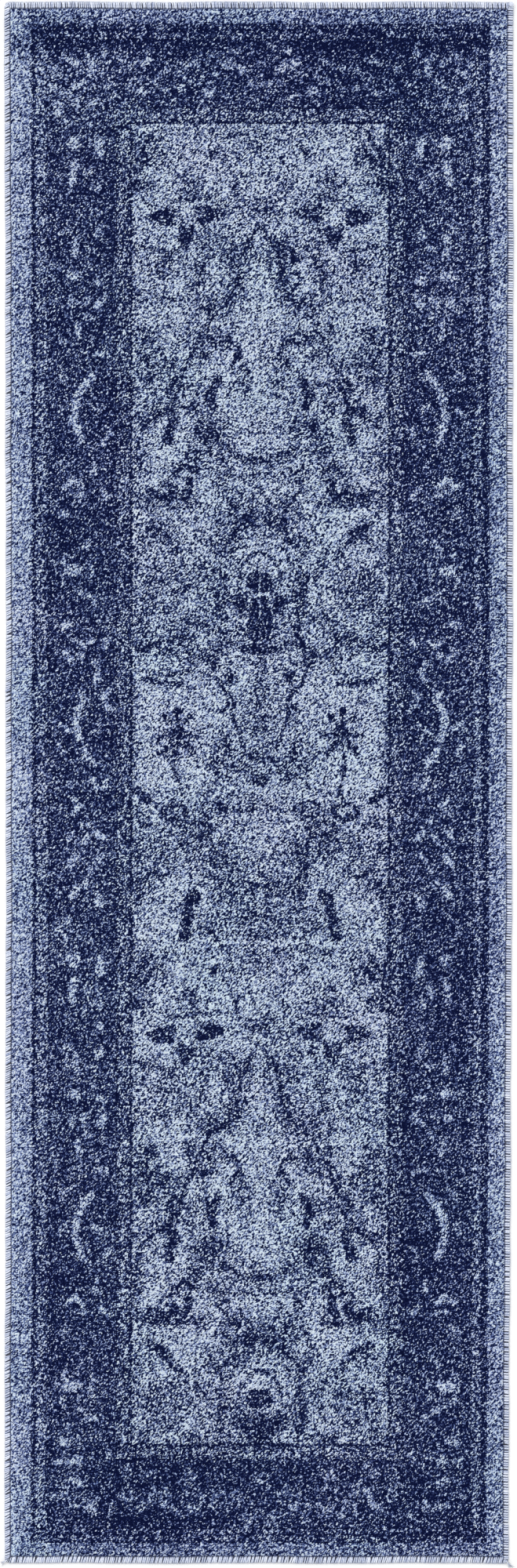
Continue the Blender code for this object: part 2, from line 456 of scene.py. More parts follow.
lines_x, starts_x = lattice_lines(INWARD_X, 0, FIELD_STRIPS)
lines_y, starts_y = lattice_lines(INWARD_Y, 1, 1)
pile_bottom, pile_top = (corner.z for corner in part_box("field"))
pile_rng = np.random.default_rng(7)
grid_shape = (len(lines_x), len(lines_y))
lean_x, lean_y = LEAN * TUFT_PITCH * pile_rng.uniform(-1, 1, (2, *grid_shape))
lean_x[[0, -1], :] *= RIM_LEAN
lean_y[:, [0, -1]] *= RIM_LEAN
knot_x = lines_x[:, None] + lean_x
knot_y = lines_y[None, :] + lean_y
on_line_x = np.arange(grid_shape[0])[:, None] % 2 == 0
on_line_y = np.arange(grid_shape[1])[None, :] % 2 == 0
sunk = np.where(on_line_x & on_line_y, PIT_DEPTH, np.where(on_line_x | on_line_y, SADDLE_DEPTH, 0.0))
to_rim_x = np.minimum(lines_x - lines_x[0], lines_x[-1] - lines_x)
to_rim_y = np.minimum(lines_y - lines_y[0], lines_y[-1] - lines_y)
to_rim = np.minimum(to_rim_x[:, None], to_rim_y[None, :])
shoulder = SHOULDER_DROP * np.clip(1 - to_rim / SHOULDER_REACH, 0, 1) ** 2
unevenness = TIP_SPREAD * (pile_rng.random(grid_shape) - 0.6)
knot_z = pile_top - sunk * pile_rng.uniform(0.8, 1.2, grid_shape) - shoulder + unevenness
# Painted shade: how much light each lattice point gets, less in the saddles and least in the pits. It is
# stored with the pile and darkens its colour.
painted_light_reach = 1.0 - np.where(sunk < PIT_DEPTH, SADDLE_PAINTED_SHADE * sunk / SADDLE_DEPTH, PIT_PAINTED_SHADE)

# The cartoon: the weaver's drawing that says which yarn each tuft is cut from. It is drawn for half
# the width and one repeat, in whole millimetres, from the mirror line out and from the head down.
REPEAT_MM = 1274
HALF_FIELD_MM = 202
HALF_RUG_MM = 400
BORDER_DEPTH_MM = 200
SOFT_EDGE_MM = 4.0


class Cartoon:
    """Ink from 0 to 1 on a sheet ruled in millimetres."""

    def __init__(self, across, along):
        self.ink = np.zeros((across, along))
        self.across, self.along = np.indices((across, along))

    def press(self, strength, points, margin, distance):
        """Inks where distance is below zero, round the points that it is drawn through."""
        reach = margin + SOFT_EDGE_MM
        (left, top), (right, foot) = np.min(points, 0) - reach, np.max(points, 0) + reach
        window = (slice(max(0, int(left)), int(right) + 1), slice(max(0, int(top)), int(foot) + 1))
        gap = distance(self.across[window], self.along[window])
        ink = strength * np.clip(0.5 - gap / SOFT_EDGE_MM, 0, 1)
        self.ink[window] = np.maximum(self.ink[window], ink)

    def line(self, strength, width, points):
        for start, end in zip(points, points[1:]):
            run = np.subtract(end, start)

            def distance(x, y):
                share = ((x - start[0]) * run[0] + (y - start[1]) * run[1]) / (run @ run)
                share = np.clip(share, 0, 1)
                return np.hypot(x - start[0] - share * run[0], y - start[1] - share * run[1]) - width / 2

            self.press(strength, (start, end), width / 2, distance)

    def oval(self, strength, middle, reach_x, reach_y, rim=0):
        """A filled oval, or only its outline where it has a rim of some width."""
        def distance(x, y):
            turn = np.hypot((x - middle[0]) / reach_x, (y - middle[1]) / reach_y)
            gap = (turn - 1) * min(reach_x, reach_y)
            return np.abs(gap) - rim / 2 if rim else gap

        self.press(strength, (middle, middle), max(reach_x, reach_y) + rim, distance)

    def wash(self, strength, middle, reach_x, reach_y):
        """A patch of fine filling, thickest at its middle, over whatever is drawn there."""
        turn = np.hypot((self.across - middle[0]) / reach_x, (self.along - middle[1]) / reach_y)
        self.ink = 1 - (1 - self.ink) * (1 - strength * np.exp(-0.9 * turn**2))

    def draw(self, lines=(), rings=(), spots=(), washes=()):
        """A motif. Each mark is its ink in hundredths, the pen's width for lines and rings, and then
        a line's points, or the middle and the reach each way."""
        for ink, width, *points in lines:
            self.line(ink / 100, width, points)
        for ink, width, *oval in rings:
            self.oval(ink / 100, *oval, rim=width)
        for ink, *oval in spots:
            self.oval(ink / 100, *oval)
        for ink, *oval in washes:
            self.wash(ink / 100, *oval)

    def read(self, across, along):
        """The ink under each point, and none off the sheet."""
        column, row = np.round(across).astype(int), np.round(along).astype(int)
        held_column = np.clip(column, 0, self.ink.shape[0] - 1)
        held_row = np.clip(row, 0, self.ink.shape[1] - 1)
        return self.ink[held_column, held_row] * (column == held_column) * (row == held_row)


# The field's sheet: dark motifs on the pale ground.
field_cartoon = Cartoon(HALF_FIELD_MM, REPEAT_MM)

# Dome over the middle
field_cartoon.draw(lines=[
    (45, 4, (0, 79), (17, 79), (32, 87), (40, 101), (38, 114), (27, 121), (10, 123)),
], spots=[
    (30, (7, 138), 12, 7),
])

# Ring with a diamond
field_cartoon.draw(lines=[
    (90, 10, (66, 40), (75, 50)), (40, 4, (88, 45), (108, 43), (120, 37)), (60, 6, (150, 45), (150, 67)),
], rings=[
    (50, 4, (46, 56), 12, 11),
])

# Spray in the corner
field_cartoon.draw(lines=[
    (90, 7, (162, 39), (177, 59), (193, 73)), (75, 7, (170, 23), (183, 40), (193, 59)),
    (70, 5, (167, 94), (181, 89), (199, 89)),
], rings=[
    (70, 5, (197, 100), 7, 6),
])

# Tulip and garland
field_cartoon.draw(lines=[
    (50, 4, (90, 88), (103, 93)), (50, 4, (120, 92), (134, 89)),
    (50, 4, (98, 104), (110, 98), (125, 104)),
    (55, 4, (64, 109), (79, 111), (98, 117), (118, 117), (140, 122)),
], rings=[
    (50, 4, (111, 82), 7, 10),
])

# Leaf triplet
field_cartoon.draw(lines=[
    (97, 10, (62, 139), (78, 134), (93, 132)), (97, 10, (62, 140), (78, 147), (93, 150)),
    (97, 9, (137, 137), (153, 138), (170, 145)), (97, 9, (170, 147), (154, 153), (138, 155)),
    (97, 9, (106, 162), (108, 176), (115, 191)), (97, 9, (123, 161), (123, 176), (116, 191)),
])

# Vine
field_cartoon.draw(lines=[
    (70, 6, (4, 159), (13, 177), (24, 195), (32, 217), (33, 241), (40, 261), (56, 285), (79, 303),
        (89, 321), (100, 343), (110, 366), (120, 387), (125, 412), (138, 437), (154, 451), (171, 462),
        (186, 476)),
    (60, 5, (12, 175), (27, 189), (46, 194)),
    (50, 4, (78, 197), (84, 216), (94, 236), (97, 258), (105, 279), (115, 294)),
    (50, 4, (117, 219), (118, 238), (112, 258)), (50, 5, (33, 220), (51, 219), (64, 211)),
], rings=[
    (45, 4, (44, 203), 9, 7), (45, 4, (61, 199), 9, 7), (50, 4, (82, 200), 10, 10),
    (50, 4, (53, 244), 11, 11), (50, 4, (34, 264), 11, 11), (45, 4, (51, 313), 11, 18),
    (50, 4, (81, 349), 11, 13),
], spots=[
    (35, (83, 282), 16, 18), (35, (76, 332), 10, 15),
])

# Four-petal flower
field_cartoon.draw(lines=[
    (50, 5, (128, 199), (149, 197), (175, 192), (195, 187)),
    (45, 4, (122, 272), (139, 279), (158, 274), (177, 285), (199, 286)), (50, 5, (166, 247), (181, 248)),
], rings=[
    (50, 4, (144, 227), 7, 6), (50, 4, (161, 227), 7, 6), (50, 4, (153, 217), 6, 6),
    (50, 4, (153, 237), 6, 6), (45, 4, (134, 204), 9, 9), (40, 4, (118, 265), 10, 11),
], spots=[
    (70, (153, 227), 4, 4),
])

# Palmette
field_cartoon.draw(lines=[
    (60, 4, (177, 321), (177, 421)), (60, 4, (145, 349), (162, 353), (173, 366), (177, 385)),
    (60, 4, (199, 349), (189, 355), (180, 369)), (45, 5, (149, 395), (177, 397), (198, 395)),
], rings=[
    (45, 4, (167, 329), 6, 10), (45, 4, (187, 329), 6, 10), (45, 4, (154, 370), 9, 9),
    (45, 4, (162, 385), 7, 7), (45, 4, (191, 382), 7, 9),
], spots=[
    (50, (177, 366), 5, 12), (55, (177, 402), 6, 6),
])

# Curl
field_cartoon.draw(lines=[
    (95, 7, (29, 364), (33, 355), (40, 369), (46, 380)),
    (70, 5, (31, 357), (35, 343), (48, 337), (60, 341)), (70, 6, (81, 359), (94, 364)),
], rings=[
    (50, 4, (26, 401), 10, 23),
], spots=[
    (40, (26, 403), 4, 6),
])

# Comma
field_cartoon.draw(lines=[
    (97, 13, (66, 398), (71, 410), (78, 423), (72, 440)),
    (50, 4, (50, 402), (46, 415), (54, 426), (65, 421)),
], rings=[
    (40, 4, (104, 414), 9, 9),
])

# Bold knot on the vine
field_cartoon.draw(lines=[
    (90, 9, (133, 399), (140, 407), (142, 418)),
    (97, 15, (139, 448), (133, 465), (142, 479), (142, 494)),
    (50, 4, (161, 414), (155, 432), (161, 451)), (60, 5, (186, 459), (199, 453)),
    (45, 4, (94, 448), (104, 439), (117, 432)), (45, 4, (111, 447), (120, 437), (132, 437)),
    (40, 4, (186, 490), (193, 513), (182, 536)),
], rings=[
    (40, 4, (181, 531), 12, 17),
])

# Eye
field_cartoon.draw(lines=[
    (45, 6, (51, 475), (66, 472)), (45, 5, (100, 472), (112, 480), (105, 495)),
    (50, 10, (0, 525), (18, 523), (37, 517), (56, 502)), (45, 4, (75, 501), (78, 531), (73, 547)),
], rings=[
    (50, 4, (82, 479), 18, 18), (45, 4, (57, 535), 10, 11),
], spots=[
    (95, (82, 475), 6, 6), (35, (82, 480), 16, 17), (35, (105, 513), 12, 11),
])

# Hook
field_cartoon.draw(lines=[
    (70, 7, (98, 544), (108, 535), (121, 530), (128, 542)), (97, 13, (112, 555), (111, 568), (118, 581)),
    (60, 4, (118, 552), (134, 548), (148, 556), (159, 568)),
    (97, 13, (132, 573), (142, 583), (156, 583), (171, 575)), (80, 7, (134, 566), (145, 566)),
    (45, 10, (93, 592), (132, 597), (171, 591)), (55, 4, (0, 544), (24, 546), (46, 547)),
    (70, 5, (55, 557), (67, 569), (51, 584), (39, 601), (37, 622), (40, 641)),
    (55, 4, (54, 585), (66, 600), (70, 614)), (75, 9, (140, 641), (156, 632), (173, 627)),
], rings=[
    (35, 4, (17, 568), 15, 20),
], spots=[
    (45, (17, 619), 12, 15),
])

# Slanted spray
field_cartoon.draw(lines=[
    (60, 12, (171, 625), (151, 640), (132, 660), (122, 674)),
    (45, 4, (83, 632), (98, 651), (105, 668), (100, 693)), (65, 6, (37, 636), (55, 658), (68, 672)),
    (50, 4, (0, 644), (20, 639), (35, 625)), (50, 4, (27, 654), (42, 666), (46, 680)),
], rings=[
    (35, 4, (16, 627), 16, 12), (30, 4, (125, 696), 17, 15),
], spots=[
    (25, (126, 695), 16, 13),
])

# Medallion
field_cartoon.draw(lines=[
    (70, 6, (0, 666), (17, 674), (29, 690), (33, 707)), (97, 11, (0, 821), (12, 820), (27, 817)),
    (60, 5, (12, 806), (22, 795)),
], rings=[
    (50, 5, (29, 749), 11, 15),
], spots=[
    (90, (5, 713), 16, 16), (97, (2, 744), 10, 10), (80, (29, 749), 9, 12), (97, (6, 778), 11, 32),
    (97, (5, 818), 17, 9), (50, (15, 757), 20, 15),
])

# Tracery beside the medallion
field_cartoon.draw(lines=[
    (50, 4, (61, 668), (64, 688), (54, 717), (56, 749), (61, 788)),
    (45, 4, (64, 698), (83, 704), (98, 724), (89, 754), (78, 778)), (40, 10, (67, 727), (64, 764)),
    (45, 4, (105, 721), (137, 729), (165, 721)), (50, 4, (147, 723), (166, 738), (186, 724)),
    (40, 4, (127, 751), (149, 759), (171, 749), (189, 729)),
], rings=[
    (40, 4, (165, 709), 15, 16), (45, 4, (140, 744), 11, 11), (35, 4, (186, 754), 11, 11),
], spots=[
    (25, (165, 709), 12, 13), (50, (166, 737), 5, 5), (25, (104, 776), 22, 12),
])

# Fan of leaves
field_cartoon.draw(lines=[
    (55, 5, (103, 795), (116, 800), (125, 810)), (60, 5, (118, 788), (126, 806)),
    (60, 5, (144, 789), (132, 803)), (50, 4, (105, 822), (103, 843), (115, 853), (132, 855)),
], rings=[
    (50, 4, (149, 816), 10, 10), (40, 4, (117, 827), 11, 11),
], spots=[
    (30, (122, 803), 15, 12),
])

# Bold mark at the field's side
field_cartoon.draw(lines=[(95, 11, (173, 815), (183, 821), (198, 811)), (50, 4, (182, 827), (195, 839))])

# Pointed vine
field_cartoon.draw(lines=[
    (85, 6, (57, 792), (66, 810), (71, 834), (72, 856), (64, 873), (51, 887), (43, 895), (43, 906),
        (45, 920), (38, 937), (31, 954), (28, 969)),
    (75, 5, (49, 902), (61, 916)), (60, 6, (84, 827), (78, 845)), (60, 6, (38, 810), (55, 803)),
    (50, 4, (42, 788), (54, 798)),
], spots=[
    (80, (48, 861), 7, 9),
])

# Double bar
field_cartoon.draw(lines=[
    (50, 5, (112, 855), (134, 858), (161, 858)), (65, 10, (123, 872), (147, 872), (181, 865)),
])

# Rosette on a stem
field_cartoon.draw(lines=[
    (80, 6, (108, 922), (120, 933)), (80, 6, (151, 921), (139, 932)), (80, 6, (98, 953), (117, 950)),
    (80, 6, (162, 953), (142, 950)), (90, 9, (106, 980), (118, 965)), (90, 9, (153, 980), (139, 965)),
    (75, 5, (129, 917), (129, 937)),
    (80, 5, (128, 961), (131, 983), (134, 1005), (127, 1026), (123, 1046)),
], spots=[
    (97, (128, 949), 12, 11), (90, (129, 915), 7, 6),
])

# Dotted middle
field_cartoon.draw(lines=[
    (50, 5, (11, 1016), (27, 993)), (40, 5, (2, 935), (11, 954)),
    (35, 4, (0, 983), (11, 974), (20, 986)), (45, 6, (12, 1069), (32, 1069)),
    (55, 4, (12, 1087), (37, 1090)), (50, 4, (0, 910), (7, 886), (2, 864)),
], rings=[
    (45, 4, (6, 980), 10, 11),
], spots=[
    (97, (4, 1022), 11, 10), (40, (5, 947), 10, 10),
])

# Star flower
field_cartoon.draw(lines=[
    (55, 5, (37, 1022), (49, 1011)), (60, 5, (78, 1035), (60, 1015)), (65, 7, (55, 964), (49, 981)),
    (50, 4, (68, 986), (61, 998)), (50, 4, (35, 991), (44, 1000)),
], rings=[
    (50, 4, (53, 1007), 9, 9), (40, 4, (37, 1004), 7, 7), (40, 4, (68, 1004), 7, 7),
    (40, 4, (53, 987), 6, 6), (40, 4, (54, 1027), 6, 6),
])

# Seed at the field's side
field_cartoon.draw(lines=[(95, 13, (176, 1054), (186, 1046), (195, 1036))])

# Linked rings
field_cartoon.draw(lines=[
    (80, 5, (108, 1071), (117, 1070)), (75, 6, (159, 1093), (172, 1091), (188, 1093)),
    (50, 4, (154, 1103), (151, 1124), (159, 1142)), (50, 4, (183, 1137), (198, 1128)),
], rings=[
    (65, 5, (77, 1068), 15, 12), (85, 6, (134, 1073), 18, 12), (70, 5, (97, 1099), 21, 11),
    (45, 4, (134, 1118), 12, 12), (40, 4, (112, 1126), 10, 10),
], spots=[
    (85, (54, 1069), 5, 5), (60, (72, 1097), 5, 5),
])

# Leaf and grass
field_cartoon.draw(lines=[
    (55, 5, (56, 1128), (61, 1154), (60, 1181), (59, 1211)), (50, 4, (71, 1140), (71, 1181)),
    (40, 4, (46, 1164), (45, 1215)), (50, 4, (129, 1167), (144, 1148), (155, 1128)),
    (55, 6, (171, 1167), (183, 1181), (191, 1206)), (45, 4, (37, 1136), (34, 1167)),
    (50, 4, (0, 1164), (10, 1176), (12, 1209), (10, 1234)),
], rings=[
    (50, 5, (83, 1130), 11, 18), (35, 4, (173, 1203), 10, 10),
], spots=[
    (30, (27, 1191), 20, 15),
])

# Crescent
field_cartoon.draw(lines=[(95, 7, (144, 1169), (154, 1175), (164, 1168))])

# Leaning bar
field_cartoon.draw(lines=[
    (97, 17, (101, 1200), (109, 1218), (114, 1245), (118, 1267), (123, 1283)),
], spots=[
    (97, (104, 1204), 13, 13),
])

# Tips under the bar
field_cartoon.draw(lines=[
    (50, 4, (86, 1247), (97, 1228)), (65, 4, (93, 1252), (73, 1259), (56, 1279)),
    (50, 4, (22, 1242), (37, 1257), (54, 1272)), (40, 4, (0, 1234), (15, 1252), (17, 1273)),
], spots=[
    (30, (15, 1264), 12, 10),
])
# Fine filling between the motifs, too small to draw
field_cartoon.draw(washes=[
    (35, (10, 28), 24, 27), (30, (44, 21), 17, 15), (30, (73, 12), 17, 11), (30, (112, 16), 32, 7),
    (40, (183, 45), 27, 29), (50, (189, 92), 20, 15), (30, (156, 21), 15, 10), (45, (198, 21), 6, 24),
    (35, (105, 87), 20, 15), (35, (105, 112), 32, 9), (40, (12, 131), 20, 15), (30, (39, 101), 10, 20),
    (60, (76, 138), 22, 11), (75, (149, 142), 15, 11), (60, (112, 173), 10, 11), (40, (88, 170), 10, 17),
    (35, (59, 177), 20, 10), (40, (27, 194), 17, 15), (45, (49, 211), 15, 12), (35, (183, 194), 34, 9),
    (35, (144, 204), 17, 11), (35, (93, 224), 10, 22), (45, (34, 236), 12, 15), (50, (43, 270), 16, 16),
    (35, (100, 244), 12, 20), (35, (61, 282), 16, 15), (35, (86, 294), 15, 16), (30, (161, 270), 44, 10),
    (30, (183, 221), 11, 11), (30, (149, 231), 18, 17), (45, (199, 272), 7, 34), (25, (12, 214), 10, 22),
    (50, (108, 326), 10, 20), (35, (178, 329), 20, 17), (40, (178, 366), 22, 24),
    (35, (73, 336), 17, 12), (35, (46, 340), 15, 10), (45, (93, 360), 13, 12), (35, (125, 380), 15, 15),
    (35, (178, 402), 17, 12), (35, (149, 377), 15, 15), (30, (122, 409), 15, 15),
    (40, (137, 428), 12, 15), (25, (29, 390), 11, 27), (40, (83, 412), 12, 17), (40, (159, 445), 17, 10),
    (40, (198, 421), 7, 22), (45, (181, 463), 22, 12), (30, (110, 441), 17, 10), (45, (76, 476), 27, 22),
    (40, (81, 505), 17, 15), (45, (105, 529), 17, 17), (35, (12, 524), 22, 15), (35, (51, 509), 15, 12),
    (30, (51, 546), 15, 12), (40, (66, 558), 12, 11), (30, (137, 544), 15, 12), (50, (192, 517), 10, 29),
    (35, (147, 585), 44, 10), (45, (37, 592), 15, 20), (55, (7, 605), 15, 15), (35, (56, 612), 12, 12),
    (35, (29, 622), 27, 10), (30, (186, 592), 17, 17), (40, (195, 566), 10, 17),
    (35, (161, 636), 15, 15), (40, (37, 644), 22, 17), (45, (73, 654), 15, 17), (30, (55, 673), 15, 15),
    (40, (92, 696), 12, 17), (50, (64, 715), 15, 22), (40, (34, 739), 17, 22), (30, (171, 654), 15, 15),
    (40, (195, 684), 10, 27), (40, (164, 712), 22, 22), (25, (132, 709), 20, 20),
    (30, (122, 733), 17, 15), (35, (140, 754), 17, 15), (40, (104, 776), 24, 15),
    (40, (64, 751), 15, 20), (40, (56, 782), 15, 20), (30, (24, 788), 15, 24), (30, (171, 754), 22, 17),
    (35, (189, 776), 15, 17), (40, (132, 803), 20, 17), (40, (159, 806), 15, 12),
    (35, (183, 788), 15, 17), (40, (56, 812), 12, 12), (45, (86, 827), 15, 15), (30, (116, 834), 17, 12),
    (30, (76, 839), 12, 17), (50, (5, 843), 10, 15), (30, (7, 886), 12, 24), (35, (46, 864), 12, 15),
    (25, (31, 916), 15, 20), (30, (7, 928), 15, 24), (35, (56, 959), 15, 17), (35, (12, 983), 17, 24),
    (35, (73, 989), 20, 24), (30, (42, 1002), 20, 22), (20, (128, 947), 27, 24), (60, (199, 953), 6, 37),
    (30, (199, 886), 5, 37), (40, (198, 1002), 7, 24), (30, (10, 1063), 24, 17),
    (30, (55, 1063), 17, 15), (30, (86, 1075), 27, 17), (25, (134, 1076), 27, 20),
    (35, (189, 1081), 15, 15), (35, (93, 1103), 27, 15), (35, (110, 1130), 37, 20),
    (30, (49, 1130), 24, 17), (30, (20, 1148), 22, 17), (35, (171, 1130), 22, 20),
    (45, (193, 1142), 12, 24), (35, (67, 1161), 24, 24), (40, (24, 1189), 29, 20),
    (35, (59, 1203), 17, 29), (30, (147, 1154), 22, 15), (40, (177, 1181), 20, 17),
    (50, (193, 1203), 10, 22), (30, (198, 1252), 6, 24), (30, (12, 1228), 17, 20),
    (35, (37, 1246), 27, 17), (35, (73, 1252), 17, 22), (35, (10, 1267), 17, 10),
])

# The side borders' sheet: pale blossoms and curls on the navy ground.
side_cartoon = Cartoon(HALF_RUG_MM, REPEAT_MM)
side_cartoon.draw(lines=[
    (90, 11, (252, 27), (248, 49)), (85, 10, (289, 61), (294, 92)), (60, 9, (289, 178), (289, 204)),
    (50, 7, (260, 195), (272, 195)), (80, 9, (241, 271), (253, 285)), (80, 9, (285, 314), (282, 333)),
    (60, 8, (239, 360), (256, 355)),
    (90, 11, (262, 393), (277, 412), (285, 431), (289, 460), (282, 479), (277, 493)),
    (55, 8, (306, 443), (313, 455)), (55, 8, (262, 441), (250, 448)), (60, 8, (234, 476), (244, 496)),
    (65, 6, (256, 527), (258, 548)), (85, 9, (277, 565), (289, 553), (303, 565)),
    (75, 8, (237, 582), (246, 570)), (65, 7, (273, 579), (291, 577)), (60, 9, (268, 651), (280, 663)),
    (50, 7, (303, 672), (308, 699), (306, 720)), (60, 8, (256, 744), (285, 727)),
    (40, 6, (263, 682), (265, 711)), (90, 7, (235, 800), (241, 815)),
    (85, 7, (261, 806), (275, 812), (290, 803)), (95, 10, (293, 834), (302, 821)),
    (100, 7, (259, 839), (252, 854), (257, 867)),
    (90, 7, (236, 883), (244, 893), (241, 906), (232, 913)),
    (100, 11, (279, 887), (274, 898), (285, 914), (288, 935), (282, 957)),
    (85, 5, (247, 936), (264, 949)), (75, 9, (299, 946), (312, 936)),
    (90, 11, (275, 977), (270, 989), (260, 997)), (75, 6, (315, 968), (308, 982)),
    (95, 7, (242, 1020), (243, 1035)), (95, 7, (254, 1037), (261, 1022)),
    (100, 7, (291, 1052), (281, 1063), (292, 1074)), (80, 6, (261, 1087), (272, 1091)),
    (90, 9, (244, 1113), (257, 1103)), (90, 9, (270, 1110), (276, 1119)),
    (70, 6, (292, 1103), (299, 1115)), (80, 7, (247, 1140), (257, 1150)),
    (85, 11, (287, 1142), (297, 1154)), (90, 11, (286, 1190), (293, 1204)),
    (65, 6, (298, 1239), (314, 1252), (321, 1263)), (60, 6, (313, 1258), (302, 1272)),
], spots=[
    (85, (290, 31), 10, 10), (45, (268, 75), 8, 8), (45, (253, 97), 8, 8), (35, (248, 133), 7, 7),
    (65, (251, 173), 8, 9), (35, (301, 166), 7, 7), (80, (291, 238), 12, 8), (55, (250, 245), 8, 8),
    (35, (260, 226), 6, 6), (45, (272, 276), 8, 8), (65, (294, 278), 8, 8), (35, (322, 274), 7, 7),
    (50, (268, 302), 8, 6), (35, (308, 395), 7, 10), (50, (306, 608), 9, 7), (95, (291, 694), 14, 9),
    (80, (303, 780), 11, 7), (70, (279, 828), 6, 6), (60, (241, 897), 7, 7), (70, (271, 1185), 7, 7),
    (85, (250, 1213), 9, 9), (60, (264, 1163), 7, 6),
])

# The head and foot borders' sheets, drawn from the rug's end in.
head_cartoon = Cartoon(HALF_RUG_MM, BORDER_DEPTH_MM)
foot_cartoon = Cartoon(HALF_RUG_MM, BORDER_DEPTH_MM)

# Blossoms, leaves and hooks along the head
head_cartoon.draw(lines=[
    (55, 6, (15, 68), (31, 75), (46, 78)), (70, 9, (27, 107), (39, 102), (59, 95)),
    (80, 7, (98, 90), (108, 97)), (70, 7, (142, 100), (147, 109)), (75, 10, (173, 90), (186, 95)),
    (60, 6, (151, 109), (162, 124)), (70, 7, (242, 70), (243, 85)), (90, 11, (261, 92), (261, 114)),
    (80, 7, (271, 82), (261, 95)), (95, 9, (283, 98), (294, 91)), (80, 7, (303, 80), (310, 90)),
    (80, 7, (307, 109), (320, 117), (327, 95)), (90, 9, (274, 125), (290, 134)),
    (80, 7, (308, 145), (325, 131)), (70, 6, (227, 126), (239, 134)), (70, 7, (259, 158), (271, 166)),
    (60, 7, (46, 151), (59, 144)), (50, 6, (0, 129), (10, 126)), (50, 6, (15, 125), (22, 136)),
], rings=[
    (50, 5, (103, 113), 15, 15), (50, 5, (183, 129), 20, 11),
], spots=[
    (80, (34, 103), 6, 5), (60, (68, 114), 6, 5), (65, (103, 124), 6, 6), (75, (147, 137), 6, 6),
    (75, (288, 159), 7, 9), (80, (314, 162), 7, 7), (70, (244, 111), 6, 5), (60, (81, 141), 9, 9),
    (50, (125, 134), 7, 7), (60, (214, 107), 7, 6), (60, (183, 141), 9, 7), (40, (128, 109), 7, 9),
])
# Blossoms and buds along the foot
foot_cartoon.draw(lines=[
    (95, 7, (281, 161), (301, 158), (320, 162)), (90, 10, (279, 124), (294, 130)),
    (85, 10, (164, 115), (171, 101)), (90, 10, (175, 93), (186, 89)), (70, 7, (257, 97), (264, 84)),
    (85, 12, (259, 84), (271, 89)), (80, 9, (282, 89), (293, 91)), (70, 9, (308, 109), (323, 103)),
    (60, 6, (122, 73), (132, 84)), (60, 6, (232, 85), (235, 69)), (55, 6, (59, 109), (71, 103)),
    (60, 7, (100, 86), (110, 81)),
], rings=[
    (60, 5, (205, 108), 6, 9), (50, 5, (105, 103), 15, 16), (45, 5, (205, 142), 7, 10),
], spots=[
    (90, (1, 131), 6, 6), (60, (17, 71), 11, 9), (60, (55, 91), 9, 7), (70, (76, 91), 6, 5),
    (55, (110, 137), 10, 10), (50, (149, 113), 7, 10), (50, (177, 140), 10, 7), (45, (37, 106), 11, 9),
    (50, (143, 93), 10, 7),
])

# Yarn choice: a tone for each point of the lattice, 0 for navy to 1 for the palest blue, from its
# zone's ground, the cartoon's ink and the unevenness of old dye. Chance then strays from that tone, and
# what is stored is the odds (their logarithm) that the yarn there is pale.
BAND_TONES = {"left": 0.47, "right": 0.42, "foot": 0.335, "head": 0.33}
RING_TONES = np.array([0.0, 0.34, 0.16, 0.295, 0.56])  # from the rim in: band, guard, border, guard, field
YARN_SPREADS = np.array([3.6, 4.8, 4.4, 5.4, 5.4])  # how far the odds stray
RIM_PALENESS = 0.16  # paler again towards the rim
RIM_PALE_REACH = (8.0, 9.0)  # in millimetres: where it starts to fade, and how slowly
END_INK = 0.7
END_TONES = 0.84  # of the sides' tone, in the guard and border at the head and the foot
MOTIF_NAVY = 0.12
MOTIF_PALE = 0.56
GUARD_DIP = 0.10
GUARD_RISE = 0.24
ABRASH = 0.030
FADING = 0.035
OUTLINE_DEPTH = 0.55
END_DEPTH = 0.3
HEAD_BAND_DEPTH = 0.25
# Dark lines, by their near and far side in millimetres from the rug's rim or, for the field's, from it.
FIELD_LINE = (0.0, 4.0)
GUARD_LINE = (43.0, 48.0)
RIGHT_BAND_LINE = (38.0, 43.5)
HEAD_BAND_LINE = (33.0, 56.0)
HEAD_GUARD_LINE = (58.0, 76.0)
FOOT_GUARD_LINES = ((34.0, 38.0), (53.0, 58.0))
HEAD_LINE_INSET = 36.0  # the head band's line stops this far from the long sides
FLECKS = 12.0  # how far the flecks within a tuft shift the odds
FLECK_SPREAD = 0.12  # of fine noise about its middle
SMOOTHING = 0.667  # the spread that is left between lattice points
ODDS_WIDTH = 2.9  # squared width of the curve from odds to tone
TONE_LIMITS = (0.03, 0.97)
HAND_WOBBLE = 1.5  # of the drawn lines, in millimetres

middle_x = (lines_x[1:] + lines_x[:-1]) / 2
middle_y = (lines_y[1:] + lines_y[:-1]) / 2
field_low, field_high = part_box("field")
mirror_x = (field_low.x + field_high.x) / 2
zone_x = np.searchsorted(starts_x, np.arange(len(middle_x)), side="right") - 1
zone_y = np.searchsorted(starts_y, np.arange(len(middle_y)), side="right") - 1
ring_of_tuft = np.minimum(RING_OF_ZONE[zone_x][:, None], RING_OF_ZONE[zone_y][None, :])
tuft_x, tuft_y = np.meshgrid(middle_x, middle_y, indexing="ij")


def drift(rng, size_x, size_y):
    """Slow random change over the pile, about -1 to 1, in patches of about this size."""
    across = max(3, round(2 * half_width / size_x))
    along = max(3, round(2 * half_length / size_y))
    coarse = rng.normal(size=(across + 1, along + 1)) * 0.6
    at_x = np.clip((middle_x + half_width) / (2 * half_width), 0, 0.9999) * across
    at_y = np.clip((middle_y + half_length) / (2 * half_length), 0, 0.9999) * along
    x, y = at_x.astype(int), at_y.astype(int)
    share_x, share_y = (at_x - x)[:, None], (at_y - y)[None, :]
    share_x = share_x**2 * (3 - 2 * share_x)
    share_y = share_y**2 * (3 - 2 * share_y)
    low_row = coarse[np.ix_(x, y)] * (1 - share_x) + coarse[np.ix_(x + 1, y)] * share_x
    high_row = coarse[np.ix_(x, y + 1)] * (1 - share_x) + coarse[np.ix_(x + 1, y + 1)] * share_x
    return low_row * (1 - share_y) + high_row * share_y


